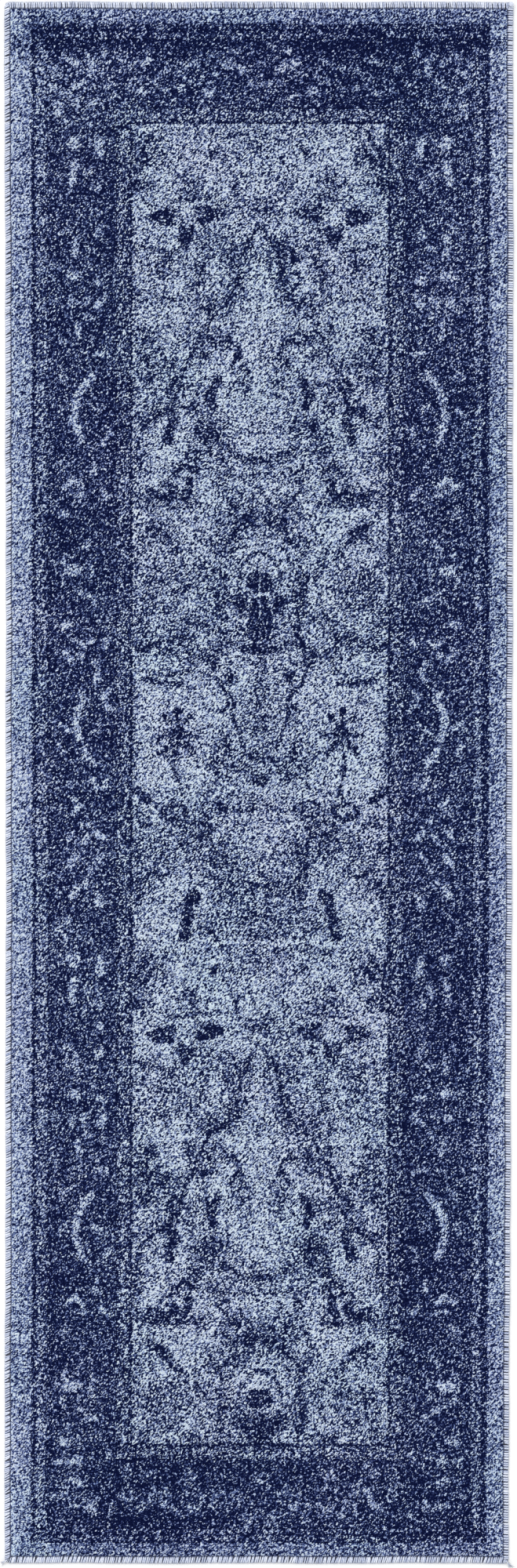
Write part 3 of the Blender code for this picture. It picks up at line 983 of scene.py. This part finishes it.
yarn_rng = np.random.default_rng(21)
wobble_x, wobble_y = drift(yarn_rng, 0.05, 0.05), drift(yarn_rng, 0.05, 0.05)
from_mirror = np.abs(tuft_x - mirror_x) / MM + HAND_WOBBLE * wobble_x
down_field = (field_high.y - tuft_y) / MM + HAND_WOBBLE * wobble_y
down_repeat = np.mod(down_field, REPEAT_MM)
from_head = (half_length - tuft_y) / MM
from_foot = (half_length + tuft_y) / MM

dark_ink = field_cartoon.read(from_mirror, down_repeat)
on_side = ((zone_y >= 3) & (zone_y <= 5))[None, :]
pale_ink = side_cartoon.read(from_mirror, down_repeat) * on_side
pale_ink = np.maximum(pale_ink, END_INK * head_cartoon.read(from_mirror, from_head))
pale_ink = np.maximum(pale_ink, END_INK * foot_cartoon.read(from_mirror, from_foot))

GUARD_REPEAT = 33.0 * MM
CHAIN_RING = (7.5 * MM, 2.4 * MM)  # radius and width
CHAIN_NODE = 3.4 * MM


def guard_chain(along, off_middle):
    """Ink of the guards' chain: a ring in each repeat, joined to the next by a small node."""
    place = np.mod(along, GUARD_REPEAT) - GUARD_REPEAT / 2
    ring = (np.hypot(place, off_middle * 1.1) - CHAIN_RING[0]) / CHAIN_RING[1]
    node = np.hypot(np.abs(place) - GUARD_REPEAT / 2, off_middle) / CHAIN_NODE
    return np.maximum(0.6 * np.exp(-(ring**2)), 0.8 * np.exp(-(node**2)))


guard_ink = np.zeros_like(tuft_x)
for ring in (1, 3):
    for zone in (ring, 8 - ring):
        for axis, zones, row in ((0, INWARD_X, zone_x[:, None]), (1, INWARD_Y, zone_y[None, :])):
            low, high = (corner[axis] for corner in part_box(zones[zone]))
            off_middle = (tuft_x, tuft_y)[axis] - (low + high) / 2
            chain = guard_chain((tuft_y, tuft_x)[axis], off_middle)
            guard_ink = np.where((ring_of_tuft == ring) & (row == zone), chain, guard_ink)


def gate(reach, line):
    """1 between the two sides of a line, and 0 well outside them."""
    low, high = line
    return np.clip((reach - low) / 3 + 0.5, 0, 1) * np.clip((high - reach) / 3 + 0.5, 0, 1)


side_reach = (half_width - np.abs(tuft_x)) / MM
end_reach = (half_length - np.abs(tuft_y)) / MM
edge_reach = np.minimum(end_reach, side_reach)
on_end = end_reach < side_reach
past_side = np.abs(tuft_x - mirror_x) - (field_high.x - field_low.x) / 2
past_end = np.maximum(tuft_y - field_high.y, field_low.y - tuft_y)
field_reach = np.maximum(past_side, past_end) / MM
sides = {
    "left": ~on_end & (tuft_x < 0),
    "right": ~on_end & (tuft_x > 0),
    "foot": on_end & (tuft_y < 0),
    "head": on_end & (tuft_y > 0),
}
in_band, in_outer_guard, in_border, in_inner_guard, in_field = (ring_of_tuft == ring for ring in range(5))
ground = RING_TONES[ring_of_tuft]
for side, tone in BAND_TONES.items():
    ground = np.where(sides[side] & in_band, tone, ground)
ground = np.where(on_end & (in_outer_guard | in_border), ground * END_TONES, ground)

fading = drift(yarn_rng, 0.09, 0.12)
abrash = drift(yarn_rng, 2.0, 0.02) + 0.6 * drift(yarn_rng, 0.4, 0.012)
tone = ground + ABRASH * abrash + FADING * fading
strength = np.clip(dark_ink * (1.3 + 0.2 * fading), 0, 1)
tone = np.where(in_field, tone + (MOTIF_NAVY - tone) * strength, tone)
strength = np.clip(pale_ink * (1.25 + 0.4 * fading), 0, 1)
tone = np.where(in_border, tone + (MOTIF_PALE - tone) * strength, tone)
tone = np.where(in_outer_guard | in_inner_guard, tone - GUARD_DIP + GUARD_RISE * guard_ink, tone)

tone = tone * (1 - OUTLINE_DEPTH * gate(edge_reach, GUARD_LINE) * in_outer_guard)
tone = tone * (1 - OUTLINE_DEPTH * gate(field_reach, FIELD_LINE) * in_inner_guard)
tone = tone * (1 - END_DEPTH * gate(from_head, HEAD_GUARD_LINE) * (ring_of_tuft < 3))
tone = tone * (1 - HEAD_BAND_DEPTH * gate(from_head, HEAD_BAND_LINE) * (side_reach > HEAD_LINE_INSET))
tone = tone * (1 - OUTLINE_DEPTH * gate(edge_reach, RIGHT_BAND_LINE) * sides["right"])
rim_fade_start, rim_fade = RIM_PALE_REACH
tone = tone + RIM_PALENESS * np.exp(-((edge_reach - rim_fade_start) / rim_fade)) * in_band
for line in FOOT_GUARD_LINES:
    tone = tone * (1 - END_DEPTH * gate(from_foot, line) * in_outer_guard)

tone = np.pad(np.clip(tone, *TONE_LIMITS), 1, mode="edge")
tone = (tone[1:, 1:] + tone[1:, :-1] + tone[:-1, 1:] + tone[:-1, :-1]) / 4
spread = np.pad(YARN_SPREADS[ring_of_tuft], 1, mode="edge")[1:, 1:]
# Odds that stray push pale and dark tones to the middle, so the tone's own odds are drawn out first.
spread_seen = np.hypot(spread * SMOOTHING, FLECKS * FLECK_SPREAD)
drawn_out = np.sqrt(1 + spread_seen**2 / ODDS_WIDTH)
yarn = drawn_out * np.log(tone / (1 - tone)) + spread * yarn_rng.normal(size=tone.shape)

# Finish of the tufts: space-dyed yarn, navy to pale blue, with a slow drift to lavender or grey-green.
# The cut tips are matte and hairy. Shade is painted into the colour: darker down in the saddles and
# pits between the tufts and towards the rim of each ply's cell, with the middles of the cells painted
# a little lighter.
YARN_STOPS = (
    (0.0, dye(4, 12, 54)),
    (0.25, dye(54, 71, 130)),
    (0.5, dye(116, 136, 190)),
    (0.75, dye(176, 196, 240)),
    (1.0, dye(234, 247, 255)),
)
# Painted shade: the share of the colour that is left where no light is stored, and the size of the ply
# cells that are painted lighter in the middle and darker at the rim.
PIT_SHADE = 0.62
PLY_CELLS = 750.0  # to the metre
FLECK_SCALE = 800.0
LAVENDER_CAST = (1.07, 0.98, 1.03, 1.0)
GREEN_CAST = (0.93, 1.02, 1.0, 1.0)


def pile_finish(name):
    """Cut pile yarn, coloured by the odds stored with each lattice point, with painted shade from the
    light stored there.
    """
    finish = Finish(name, {"Roughness": 0.95, "Specular IOR Level": 0.06})
    fibres = finish.spots(1300.0, 3.0)
    plies = finish.cells(PLY_CELLS)
    patches = finish.spots(7.0, 3.0)
    odds = finish.attribute("yarn") + (finish.spots(FLECK_SCALE, 3.0) - 0.5) * FLECKS
    tone = 1.0 / ((odds * -1.0).math("EXPONENT") + 1.0) + (fibres - 0.5) * 0.3
    colour = finish.node("ValToRGB", {"stops": YARN_STOPS}, {"Fac": tone})
    cast = finish.mix(patches, GREEN_CAST, LAVENDER_CAST)
    colour = finish.mix(1.0, colour, cast, "MULTIPLY")
    light = finish.attribute("light")
    # Painted shade: darker where little light is stored and towards each ply cell's rim, lighter at the
    # cells' middles.
    shade = (light * (1 - PIT_SHADE) + PIT_SHADE) * (1.16 - plies * 0.30)
    painted_shade_grey = finish.node("CombineColor", {}, {"Red": shade, "Green": shade, "Blue": shade})
    colour = finish.mix(1.0, colour, painted_shade_grey, "MULTIPLY")
    return finish.wear({
        "Base Color": colour,
        "Roughness": fibres * 0.15 + 0.82,
        "Normal": finish.bump(fibres * 0.5 - plies, 0.6 * MM, 0.6),
    })


def tuft_grid(name, across, along):
    """A closed block whose top is a grid two faces to a tuft each way, and its points, from 0 to 1
    each way and at -1 for its floor."""
    bm = bmesh.new()
    bmesh.ops.create_grid(bm, x_segments=across, y_segments=along, size=0.5)
    bmesh.ops.translate(bm, verts=bm.verts, vec=(0.5, 0.5, 0))
    rim = [edge for edge in bm.edges if edge.is_boundary]
    pushed = bmesh.ops.extrude_edge_only(bm, edges=rim)["geom"]
    low_rim = [item for item in pushed if isinstance(item, bmesh.types.BMEdge) and item.is_boundary]
    low_verts = [item for item in pushed if isinstance(item, bmesh.types.BMVert)]
    bmesh.ops.translate(bm, verts=low_verts, vec=(0, 0, -1))
    bmesh.ops.contextual_create(bm, geom=low_rim)
    bmesh.ops.recalc_face_normals(bm, faces=bm.faces)
    mesh = mesh_of(name, bm)
    return mesh, points_of(mesh)


def add_folded_map(mesh, places, size):
    """The piece's own map: its longer way is cut into strips that lie side by side, and its walls and
    its floor share a narrow strip of their own."""
    vertex, middle = corners_of(mesh)
    long_way = int(size[1] > size[0])
    strips = max(1, round(math.sqrt(size[long_way] / size[1 - long_way])))
    strip = np.minimum(np.floor(middle[:, long_way] * strips), strips - 1)
    strip = per_corner(mesh, strip)
    top = per_corner(mesh, middle[:, 2] > -0.01)
    floor = per_corner(mesh, middle[:, 2] < -0.99)
    short = places[vertex, 1 - long_way]
    long = places[vertex, long_way]
    depth = np.where(floor, short, places[vertex, 2] + 1)
    u = np.where(top, (strip + 0.02 + 0.96 * short) / strips, 0.01 + 0.49 * (long + short))
    v = np.where(top, 0.035 + 0.955 * (long * strips - strip), 0.002 + 0.018 * depth)
    layer = mesh.uv_layers.new(name="OFBake")
    layer.data.foreach_set("uv", np.stack([u, v], 1).ravel())


def add_values(mesh, name, values):
    """An attribute with a value for each point, which a material reads by its name."""
    mesh.attributes.new(name, "FLOAT", "POINT").data.foreach_set("value", values)


# The pile blocks' walls and floor, out of sight under the pile: navy yarn with painted shade.
BURIED_ODDS = -1.0
BURIED_LIGHT = 0.2


def add_tufts(name, node, x_range, y_range, material):
    """The stretch of the pile between two lattice lines each way."""
    across, along = x_range[1] - x_range[0], y_range[1] - y_range[0]
    mesh, places = tuft_grid(name, across, along)
    size = (lines_x[x_range[1]] - lines_x[x_range[0]], lines_y[y_range[1]] - lines_y[y_range[0]])
    add_folded_map(mesh, places, size)
    i = x_range[0] + np.round(places[:, 0] * across).astype(int)
    j = y_range[0] + np.round(places[:, 1] * along).astype(int)
    low = places[:, 2] < -0.5
    add_values(mesh, "yarn", np.where(low, BURIED_ODDS, yarn[i, j]))
    add_values(mesh, "light", np.where(low, BURIED_LIGHT, painted_light_reach[i, j]))
    z = np.where(low, pile_bottom, knot_z[i, j])
    piece = add_piece(name, mesh, np.stack([knot_x[i, j], knot_y[i, j], z], 1), material)
    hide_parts(node)
    return piece


RING_LOOKS = (
    ("outer_band", pile_finish("light_pile"), "light_pile"),
    ("outer_guard", pile_finish("outer_guard_pile"), "speckled_pile"),
    ("main_border", pile_finish("navy_pile"), "navy_pile"),
    ("inner_guard", pile_finish("inner_guard_pile"), "speckled_pile"),
)
for ring, (name, material, slot) in enumerate(RING_LOOKS):
    whole_x = (starts_x[ring], starts_x[9 - ring])
    inner_y = (starts_y[ring + 1], starts_y[8 - ring])
    ranges = {
        "left": ((starts_x[ring], starts_x[ring + 1]), inner_y),
        "right": ((starts_x[8 - ring], starts_x[9 - ring]), inner_y),
        "foot": (whole_x, (starts_y[ring], starts_y[ring + 1])),
        "head": (whole_x, (starts_y[8 - ring], starts_y[9 - ring])),
    }
    for side, (x_range, y_range) in ranges.items():
        node = f"{name}_{side}"
        add_tufts(node, node, x_range, y_range, material)

field_material = pile_finish("field_pile")
strip_lines = np.linspace(starts_x[4], starts_x[5], FIELD_STRIPS + 1).astype(int)
for number, (first, last) in enumerate(zip(strip_lines, strip_lines[1:]), 1):
    y_range = (starts_y[4], starts_y[5])
    name = f"field_strip_{number}"
    add_tufts(name, "field", (first, last), y_range, field_material)

# Serging: a thick soft yarn whipped over all four edges by machine, one wrap every few millimetres.
# Each wrap goes in through the edge of the pile, over the rim and back underneath.
WRAP_STATIONS = 9
WRAP_SIDES = 6
CORNER_RADIUS = 8.0 * MM
YARN_THICKNESS = 1.8 * MM
DIVE = 1.1 * MM  # of the yarn's inner end into the pile
RISE = 0.9 * MM  # of its other end, into the back
ARCH = 0.25 * MM  # between the two, on top
REACH_PAST = 0.8 * MM  # of a wrap's inner end past the node's box, into the pile
REACH_STRAY = 0.9 * MM
WRAP_TONE = (0.36, 0.09)  # and how much wraps differ
END_SHARE = 0.12  # of a wrap's length, over which each of its ends tapers

serging_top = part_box("serging_left")[1].z
reach_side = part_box("serging_left")[1].x + half_width
reach_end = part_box("serging_foot")[1].y + half_length

# Each side's wraps: how far apart, how far each climbs along the edge on its way in, how much
# neighbours differ, and how wide the yarn is.
SERGING = {
    "left": {"spacing": 3.5 * MM, "slant": 4.2 * MM, "looseness": 0.12, "width": 3.4 * MM},
    "right": {"spacing": 3.9 * MM, "slant": 0.6 * MM, "looseness": 0.10, "width": 3.7 * MM},
    "foot": {"spacing": 3.2 * MM, "slant": 3.0 * MM, "looseness": 0.13, "width": 3.4 * MM},
    "head": {"spacing": 2.9 * MM, "slant": 1.2 * MM, "looseness": 0.12, "width": 2.8 * MM},
}
HALF_RUN = {"left": half_length, "right": half_length, "foot": half_width, "head": half_width}
REACH = {"left": reach_side, "right": reach_side, "foot": reach_end, "head": reach_end}


def edge_point(side, along, inward):
    """The floor point this far along a side, rounding its corners, and this far in from the rim."""
    straight = HALF_RUN[side] - CORNER_RADIUS
    past = np.clip(np.abs(along) - straight, 0, None) / CORNER_RADIUS
    turn = np.sign(along) * past
    held = np.clip(along, -straight, straight)
    reach = CORNER_RADIUS - inward
    run = held + reach * np.sin(turn)
    depth = CORNER_RADIUS - reach * np.cos(turn)
    if side == "left":
        return depth - half_width, run
    if side == "right":
        return half_width - depth, run
    if side == "foot":
        return run, depth - half_length
    return run, half_length - depth


def course_sizes(reach):
    """The turn's radius, how far in from the rim its middle is, the straight part's length on top, and
    the whole length."""
    radius = (serging_top - YARN_THICKNESS) / 2
    flat = reach - serging_top / 2
    return radius, serging_top / 2, flat, 2 * flat + math.pi * radius


def wrap_course(share, reach):
    """How far in from the rim and how high the yarn's middle is, at this share of its way from its
    inner end on top, round the rim, to its inner end underneath."""
    radius, rim, flat, length = course_sizes(reach)
    gone = share * length
    turn = np.clip((gone - flat) / radius, 0, math.pi)
    beyond = np.clip(gone - flat - math.pi * radius, 0, None)
    inward = np.where(gone < flat, reach - gone, rim - radius * np.sin(turn) + beyond)
    height = rim + radius * np.cos(turn)
    dive = DIVE * np.clip(1 - gone / (2 * DIVE), 0, 1) ** 2
    rise = RISE * np.clip(1 - (length - gone) / (2 * RISE), 0, 1) ** 2
    arch = ARCH * np.sin(np.clip(gone / flat, 0, 1) * math.pi)
    return inward, height - dive + rise + arch


def dress_yarns(mesh, unit, tones):
    """Gives copied yarns, one to a tone, their own map, where each is unrolled in a cell of its own,
    the cells in rows; a second map, twist, of the way along and around; and their tones."""
    count = len(tones)
    add_values(mesh, "tone", np.repeat(tones, len(unit) // count))
    vertex, middle = corners_of(mesh)
    columns = math.ceil(math.sqrt(count * 0.45))
    rows = math.ceil(count / columns)
    number = vertex // (len(unit) // count)
    face_middle = per_corner(mesh, np.arctan2(middle[:, 1], middle[:, 0]))
    turn = np.arctan2(unit[vertex, 1], unit[vertex, 0])
    turn = face_middle + (turn - face_middle + math.pi) % (2 * math.pi) - math.pi
    cap = per_corner(mesh, np.abs(middle[:, 2]) > 0.499)
    around = np.where(cap, unit[vertex, 0] + 0.5, (turn / math.pi + 1) / 2)
    along = np.where(cap, 0.97 + 0.025 * (unit[vertex, 1] + 0.5), 0.02 + 0.93 * (unit[vertex, 2] + 0.5))
    u = (number % columns + 0.03 + 0.94 * along) / columns
    v = (number // columns + 0.05 + 0.9 * np.clip(around, -0.05, 1.05)) / rows
    layer = mesh.uv_layers.new(name="OFBake")
    layer.data.foreach_set("uv", np.stack([u, v], 1).ravel())
    twist = mesh.uv_layers.new(name="twist")
    twist.data.foreach_set("uv", np.stack([unit[vertex, 2] + 0.5, around], 1).ravel())


PLY_TURNS = 5.0
# Painted light on the serging yarn: the crown of each wrap is painted paler as if lit, and its flanks
# darker as painted shade from the neighbouring wraps.
CROWN_PAINTED_LIGHT = 1.05
FLANK_PAINTED_SHADE = 0.65  # where neighbouring wraps shade each other's flanks

serging_yarn = Finish("serging_yarn", {"Roughness": 0.85, "Sheen Weight": 0.2, "Specular IOR Level": 0.25})
twist = serging_yarn.node("UVMap", {"uv_map": "twist"})
along_yarn = serging_yarn.node("SeparateXYZ", {}, {"Vector": twist}, "X")
around_yarn = serging_yarn.node("SeparateXYZ", {}, {"Vector": twist}, "Y")
ply = ((along_yarn * PLY_TURNS + around_yarn * 2.0) * (2 * math.pi)).math("SINE") * 0.5 + 0.5
# Painted highlight: 1 on the crown of the yarn's section, down to 0 on its flanks and underneath.
painted_crown_light = ((around_yarn * 2.0 - 1.0) * math.pi).math("SINE").math("MAXIMUM", 0.0)
fuzz = serging_yarn.spots(1100.0, 3.0)
slow = serging_yarn.spots(16.0, 3.0)
shade = serging_yarn.attribute("tone") + (fuzz - 0.5) * 0.7 + ply * 0.20 + (slow - 0.5) * 0.3
# Painted light: paler on the crown and painted shade on the flanks.
shade = shade + painted_crown_light * CROWN_PAINTED_LIGHT - FLANK_PAINTED_SHADE
SERGING_STOPS = (
    (0.0, dye(52, 66, 112)),
    (0.45, dye(150, 163, 198)),
    (1.0, dye(238, 243, 253)),
)
serging_colour = serging_yarn.node("ValToRGB", {"stops": SERGING_STOPS}, {"Fac": shade})
serging_material = serging_yarn.wear({
    "Base Color": serging_colour,
    "Roughness": fuzz * 0.2 + 0.72,
    "Normal": serging_yarn.bump(ply * 0.7 + fuzz * 0.5, 0.35 * MM, 0.8),
})


def add_serging(side, seed):
    """One side's row of wraps."""
    rng = np.random.default_rng(seed)
    spec = SERGING[side]
    straight = HALF_RUN[side] - CORNER_RADIUS
    half_way = straight + CORNER_RADIUS * math.pi / 4
    count = round(2 * half_way / spec["spacing"])
    part = tube(WRAP_STATIONS, WRAP_SIDES)
    mesh, copies = copies_of(part, count, "serging_" + side)
    tones = WRAP_TONE[0] + WRAP_TONE[1] * rng.normal(size=count)
    dress_yarns(mesh, copies.reshape(-1, 3), tones)
    pitch = 2 * half_way / count
    jitter = spec["looseness"] * rng.normal(size=(5, count, 1))
    start = -half_way + pitch * (np.arange(count)[:, None] + 0.5 + jitter[0])
    share = copies[:, :, 2] + 0.5
    stray = REACH_STRAY * rng.normal(size=(count, 1)) * (0.5 + spec["looseness"])
    reach = REACH[side] + REACH_PAST + stray
    fan = np.clip((np.abs(start) - straight) / (CORNER_RADIUS * math.pi / 4), 0, 1)
    inward, height = wrap_course(share, reach * (1 - 0.3 * fan))
    climb = spec["slant"] * (1 + jitter[1] * 2) * (1 - fan)
    climb = np.where(share < 0.5, climb * (1 - 2 * share), (climb + pitch) * (2 * share - 1))
    ends = np.clip(np.minimum(share, 1 - share) / END_SHARE, 0, 1)
    width = spec["width"] * (1 + jitter[2]) * (0.6 + 0.4 * ends)
    thickness = YARN_THICKNESS * (1 + 0.5 * jitter[3]) * (0.7 + 0.3 * ends)
    along = start + climb + copies[:, :, 0] * width
    # The section stands square to the yarn's course: up on the flats, out at the rim.
    radius, _, flat, length = course_sizes(reach)
    lean = np.clip((share * length - flat) / radius, 0, math.pi)
    bulge = copies[:, :, 1] * thickness
    x, y = edge_point(side, along, inward - bulge * np.sin(lean))
    z = np.clip(height + bulge * np.cos(lean), 0.05 * MM, None)
    points = np.stack([x, y, z], 2).reshape(-1, 3)
    piece = add_piece("serging_" + side, mesh, points, serging_material)
    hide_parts("serging_" + side)
    return piece, start, pitch


# Needle thread: the thin dark thread that locks the wraps. It shows as short stitches in the groove
# between the wraps' inner ends and the pile.
THREAD_FIBRES = (2.0, (900.0, 900.0, 900.0))
thread_material = yarn_finish(
    "needle_thread", 0.3, THREAD_FIBRES, dye(58, 70, 116), dye(118, 132, 172), (0.5, 0.3), 0.2 * MM
)
THREAD_STATIONS = 4
THREAD_SIDES = 5
STITCH_SHARE = (0.75, 0.12)  # of the wraps' spacing, and how much stitches differ
STITCH_ARCH = 0.4 * MM
STITCH_STRAY = 0.25 * MM
THREAD_PLUMPNESS = 1.2  # of the groove's width


def add_needle_thread(side, starts, pitch, seed):
    """A stitch between each two wraps, a little proud of the groove at its middle."""
    rng = np.random.default_rng(seed)
    node = "needle_thread_" + side
    low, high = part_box(node)
    mesh, copies = copies_of(tube(THREAD_STATIONS, THREAD_SIDES), len(starts), node)
    across = min(high.x - low.x, high.y - low.y)
    length = pitch * (STITCH_SHARE[0] + STITCH_SHARE[1] * rng.normal(size=(len(starts), 1)))
    offset = (low.z + high.z) / 2
    climb = SERGING[side]["slant"]
    limit = HALF_RUN[side] - REACH[side] - across
    along = np.clip(starts + climb + copies[:, :, 2] * length, -limit, limit)
    inward = REACH[side] + across * (0.8 + copies[:, :, 0] * THREAD_PLUMPNESS)
    inward = inward + STITCH_STRAY * rng.normal(size=(len(starts), 1))
    arch = STITCH_ARCH * np.cos(copies[:, :, 2] * math.pi)
    z = offset + arch + copies[:, :, 1] * across * THREAD_PLUMPNESS
    x, y = edge_point(side, along, inward)
    points = np.stack([x, y, z], 2).reshape(-1, 3)
    piece = add_piece(node, mesh, points, thread_material)
    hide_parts(node)
    return piece


edge_pieces = []
for number, side in enumerate(SERGING):
    wraps, starts, pitch = add_serging(side, 40 + number)
    thread = add_needle_thread(side, starts, pitch, 60 + number)
    edge_pieces += [wraps, thread]

# Yarn tails at the foot: where the machine's yarn was cut off, its plies fray out past the corner. The
# left one is a short tuft, and the right one a pulled fan.
STRAND_STATIONS = 7
STRAND_SIDES = 5
TAIL_TONE = (0.5, 0.15)
TAILS = {
    "left": {"strands": 7, "spread_deg": 34.0, "heading_deg": -150.0, "length": 10.0 * MM},
    "right": {"strands": 9, "spread_deg": 26.0, "heading_deg": -52.0, "length": 14.0 * MM},
}


def add_tail(side, seed):
    """Plies that leave one point on the wrap, spread out and droop to the floor."""
    rng = np.random.default_rng(seed)
    spec = TAILS[side]
    node = "yarn_tail_foot_" + side
    low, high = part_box(node)
    count = spec["strands"]
    mesh, copies = copies_of(tube(STRAND_STATIONS, STRAND_SIDES), count, node)
    tones = TAIL_TONE[0] + TAIL_TONE[1] * rng.normal(size=count)
    dress_yarns(mesh, copies.reshape(-1, 3), tones)
    share = copies[:, :, 2] + 0.5
    fan = np.linspace(-0.5, 0.5, count)[:, None] + 0.1 * rng.normal(size=(count, 1))
    heading = math.radians(spec["heading_deg"]) + math.radians(spec["spread_deg"]) * fan * (0.4 + share)
    length = spec["length"] * (1 + 0.18 * rng.normal(size=(count, 1)))
    root_x = (half_width - 0.5 * reach_side) * (-1 if side == "left" else 1)
    root_y = (low.y + high.y) / 2
    thickness = (high.z - low.z) * (0.75 - 0.45 * share)
    out = share * length
    droop = serging_top * np.clip((out - 0.25 * length) / (0.6 * length), 0, 1) ** 1.5 * 0.8
    across = copies[:, :, 0] * thickness + 0.6 * MM * np.sin(share * 5 + 6 * fan) * share
    x = root_x + out * np.cos(heading) - across * np.sin(heading)
    y = root_y + out * np.sin(heading) + across * np.cos(heading)
    z = np.clip(serging_top - droop + 0.5 * thickness * (1 + 2 * copies[:, :, 1]), 0.1 * MM, None)
    piece = add_piece(node, mesh, np.stack([x, y, z], 2).reshape(-1, 3), serging_material)
    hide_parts(node)
    return piece


edge_pieces += [add_tail("left", 81), add_tail("right", 82)]

# Corner knot: the serging yarn's start, tied off on the right-hand head corner as a small tight ball
# of turns.
KNOT_TURNS = 5
KNOT_GROOVE = 0.35 * MM
KNOT_TONE = 0.45
KNOT_PLUMPNESS = (1.25, 1.25, 1.1)  # of the node's box
# The whole knot takes the crown's painted highlight evenly, which makes it pale.
KNOT_TWIST = (0.5, 0.7)  # one place on the yarn, near its crown: the turns are in the knot's shape

knot_low, knot_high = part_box("corner_knot")
knot_bm = bmesh.new()
bmesh.ops.create_icosphere(knot_bm, subdivisions=4, radius=0.5)
knot_mesh = mesh_of("corner_knot", knot_bm)
knot_unit = points_of(knot_mesh)
dress_yarns(knot_mesh, knot_unit, [KNOT_TONE])
knot_mesh.uv_layers["twist"].data.foreach_set("uv", np.tile(KNOT_TWIST, len(knot_mesh.loops)))
knot_ply = np.cos(KNOT_TURNS * math.pi * (knot_unit[:, 0] * 1.6 + knot_unit[:, 1] * 1.2))
knot_size = np.array(knot_high - knot_low) * KNOT_PLUMPNESS + knot_ply[:, None] * KNOT_GROOVE
knot_points = np.array(knot_low + knot_high) / 2 + knot_unit * knot_size
knot = add_piece("corner_knot", knot_mesh, knot_points, serging_material)
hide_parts("corner_knot")
edge_pieces.append(knot)
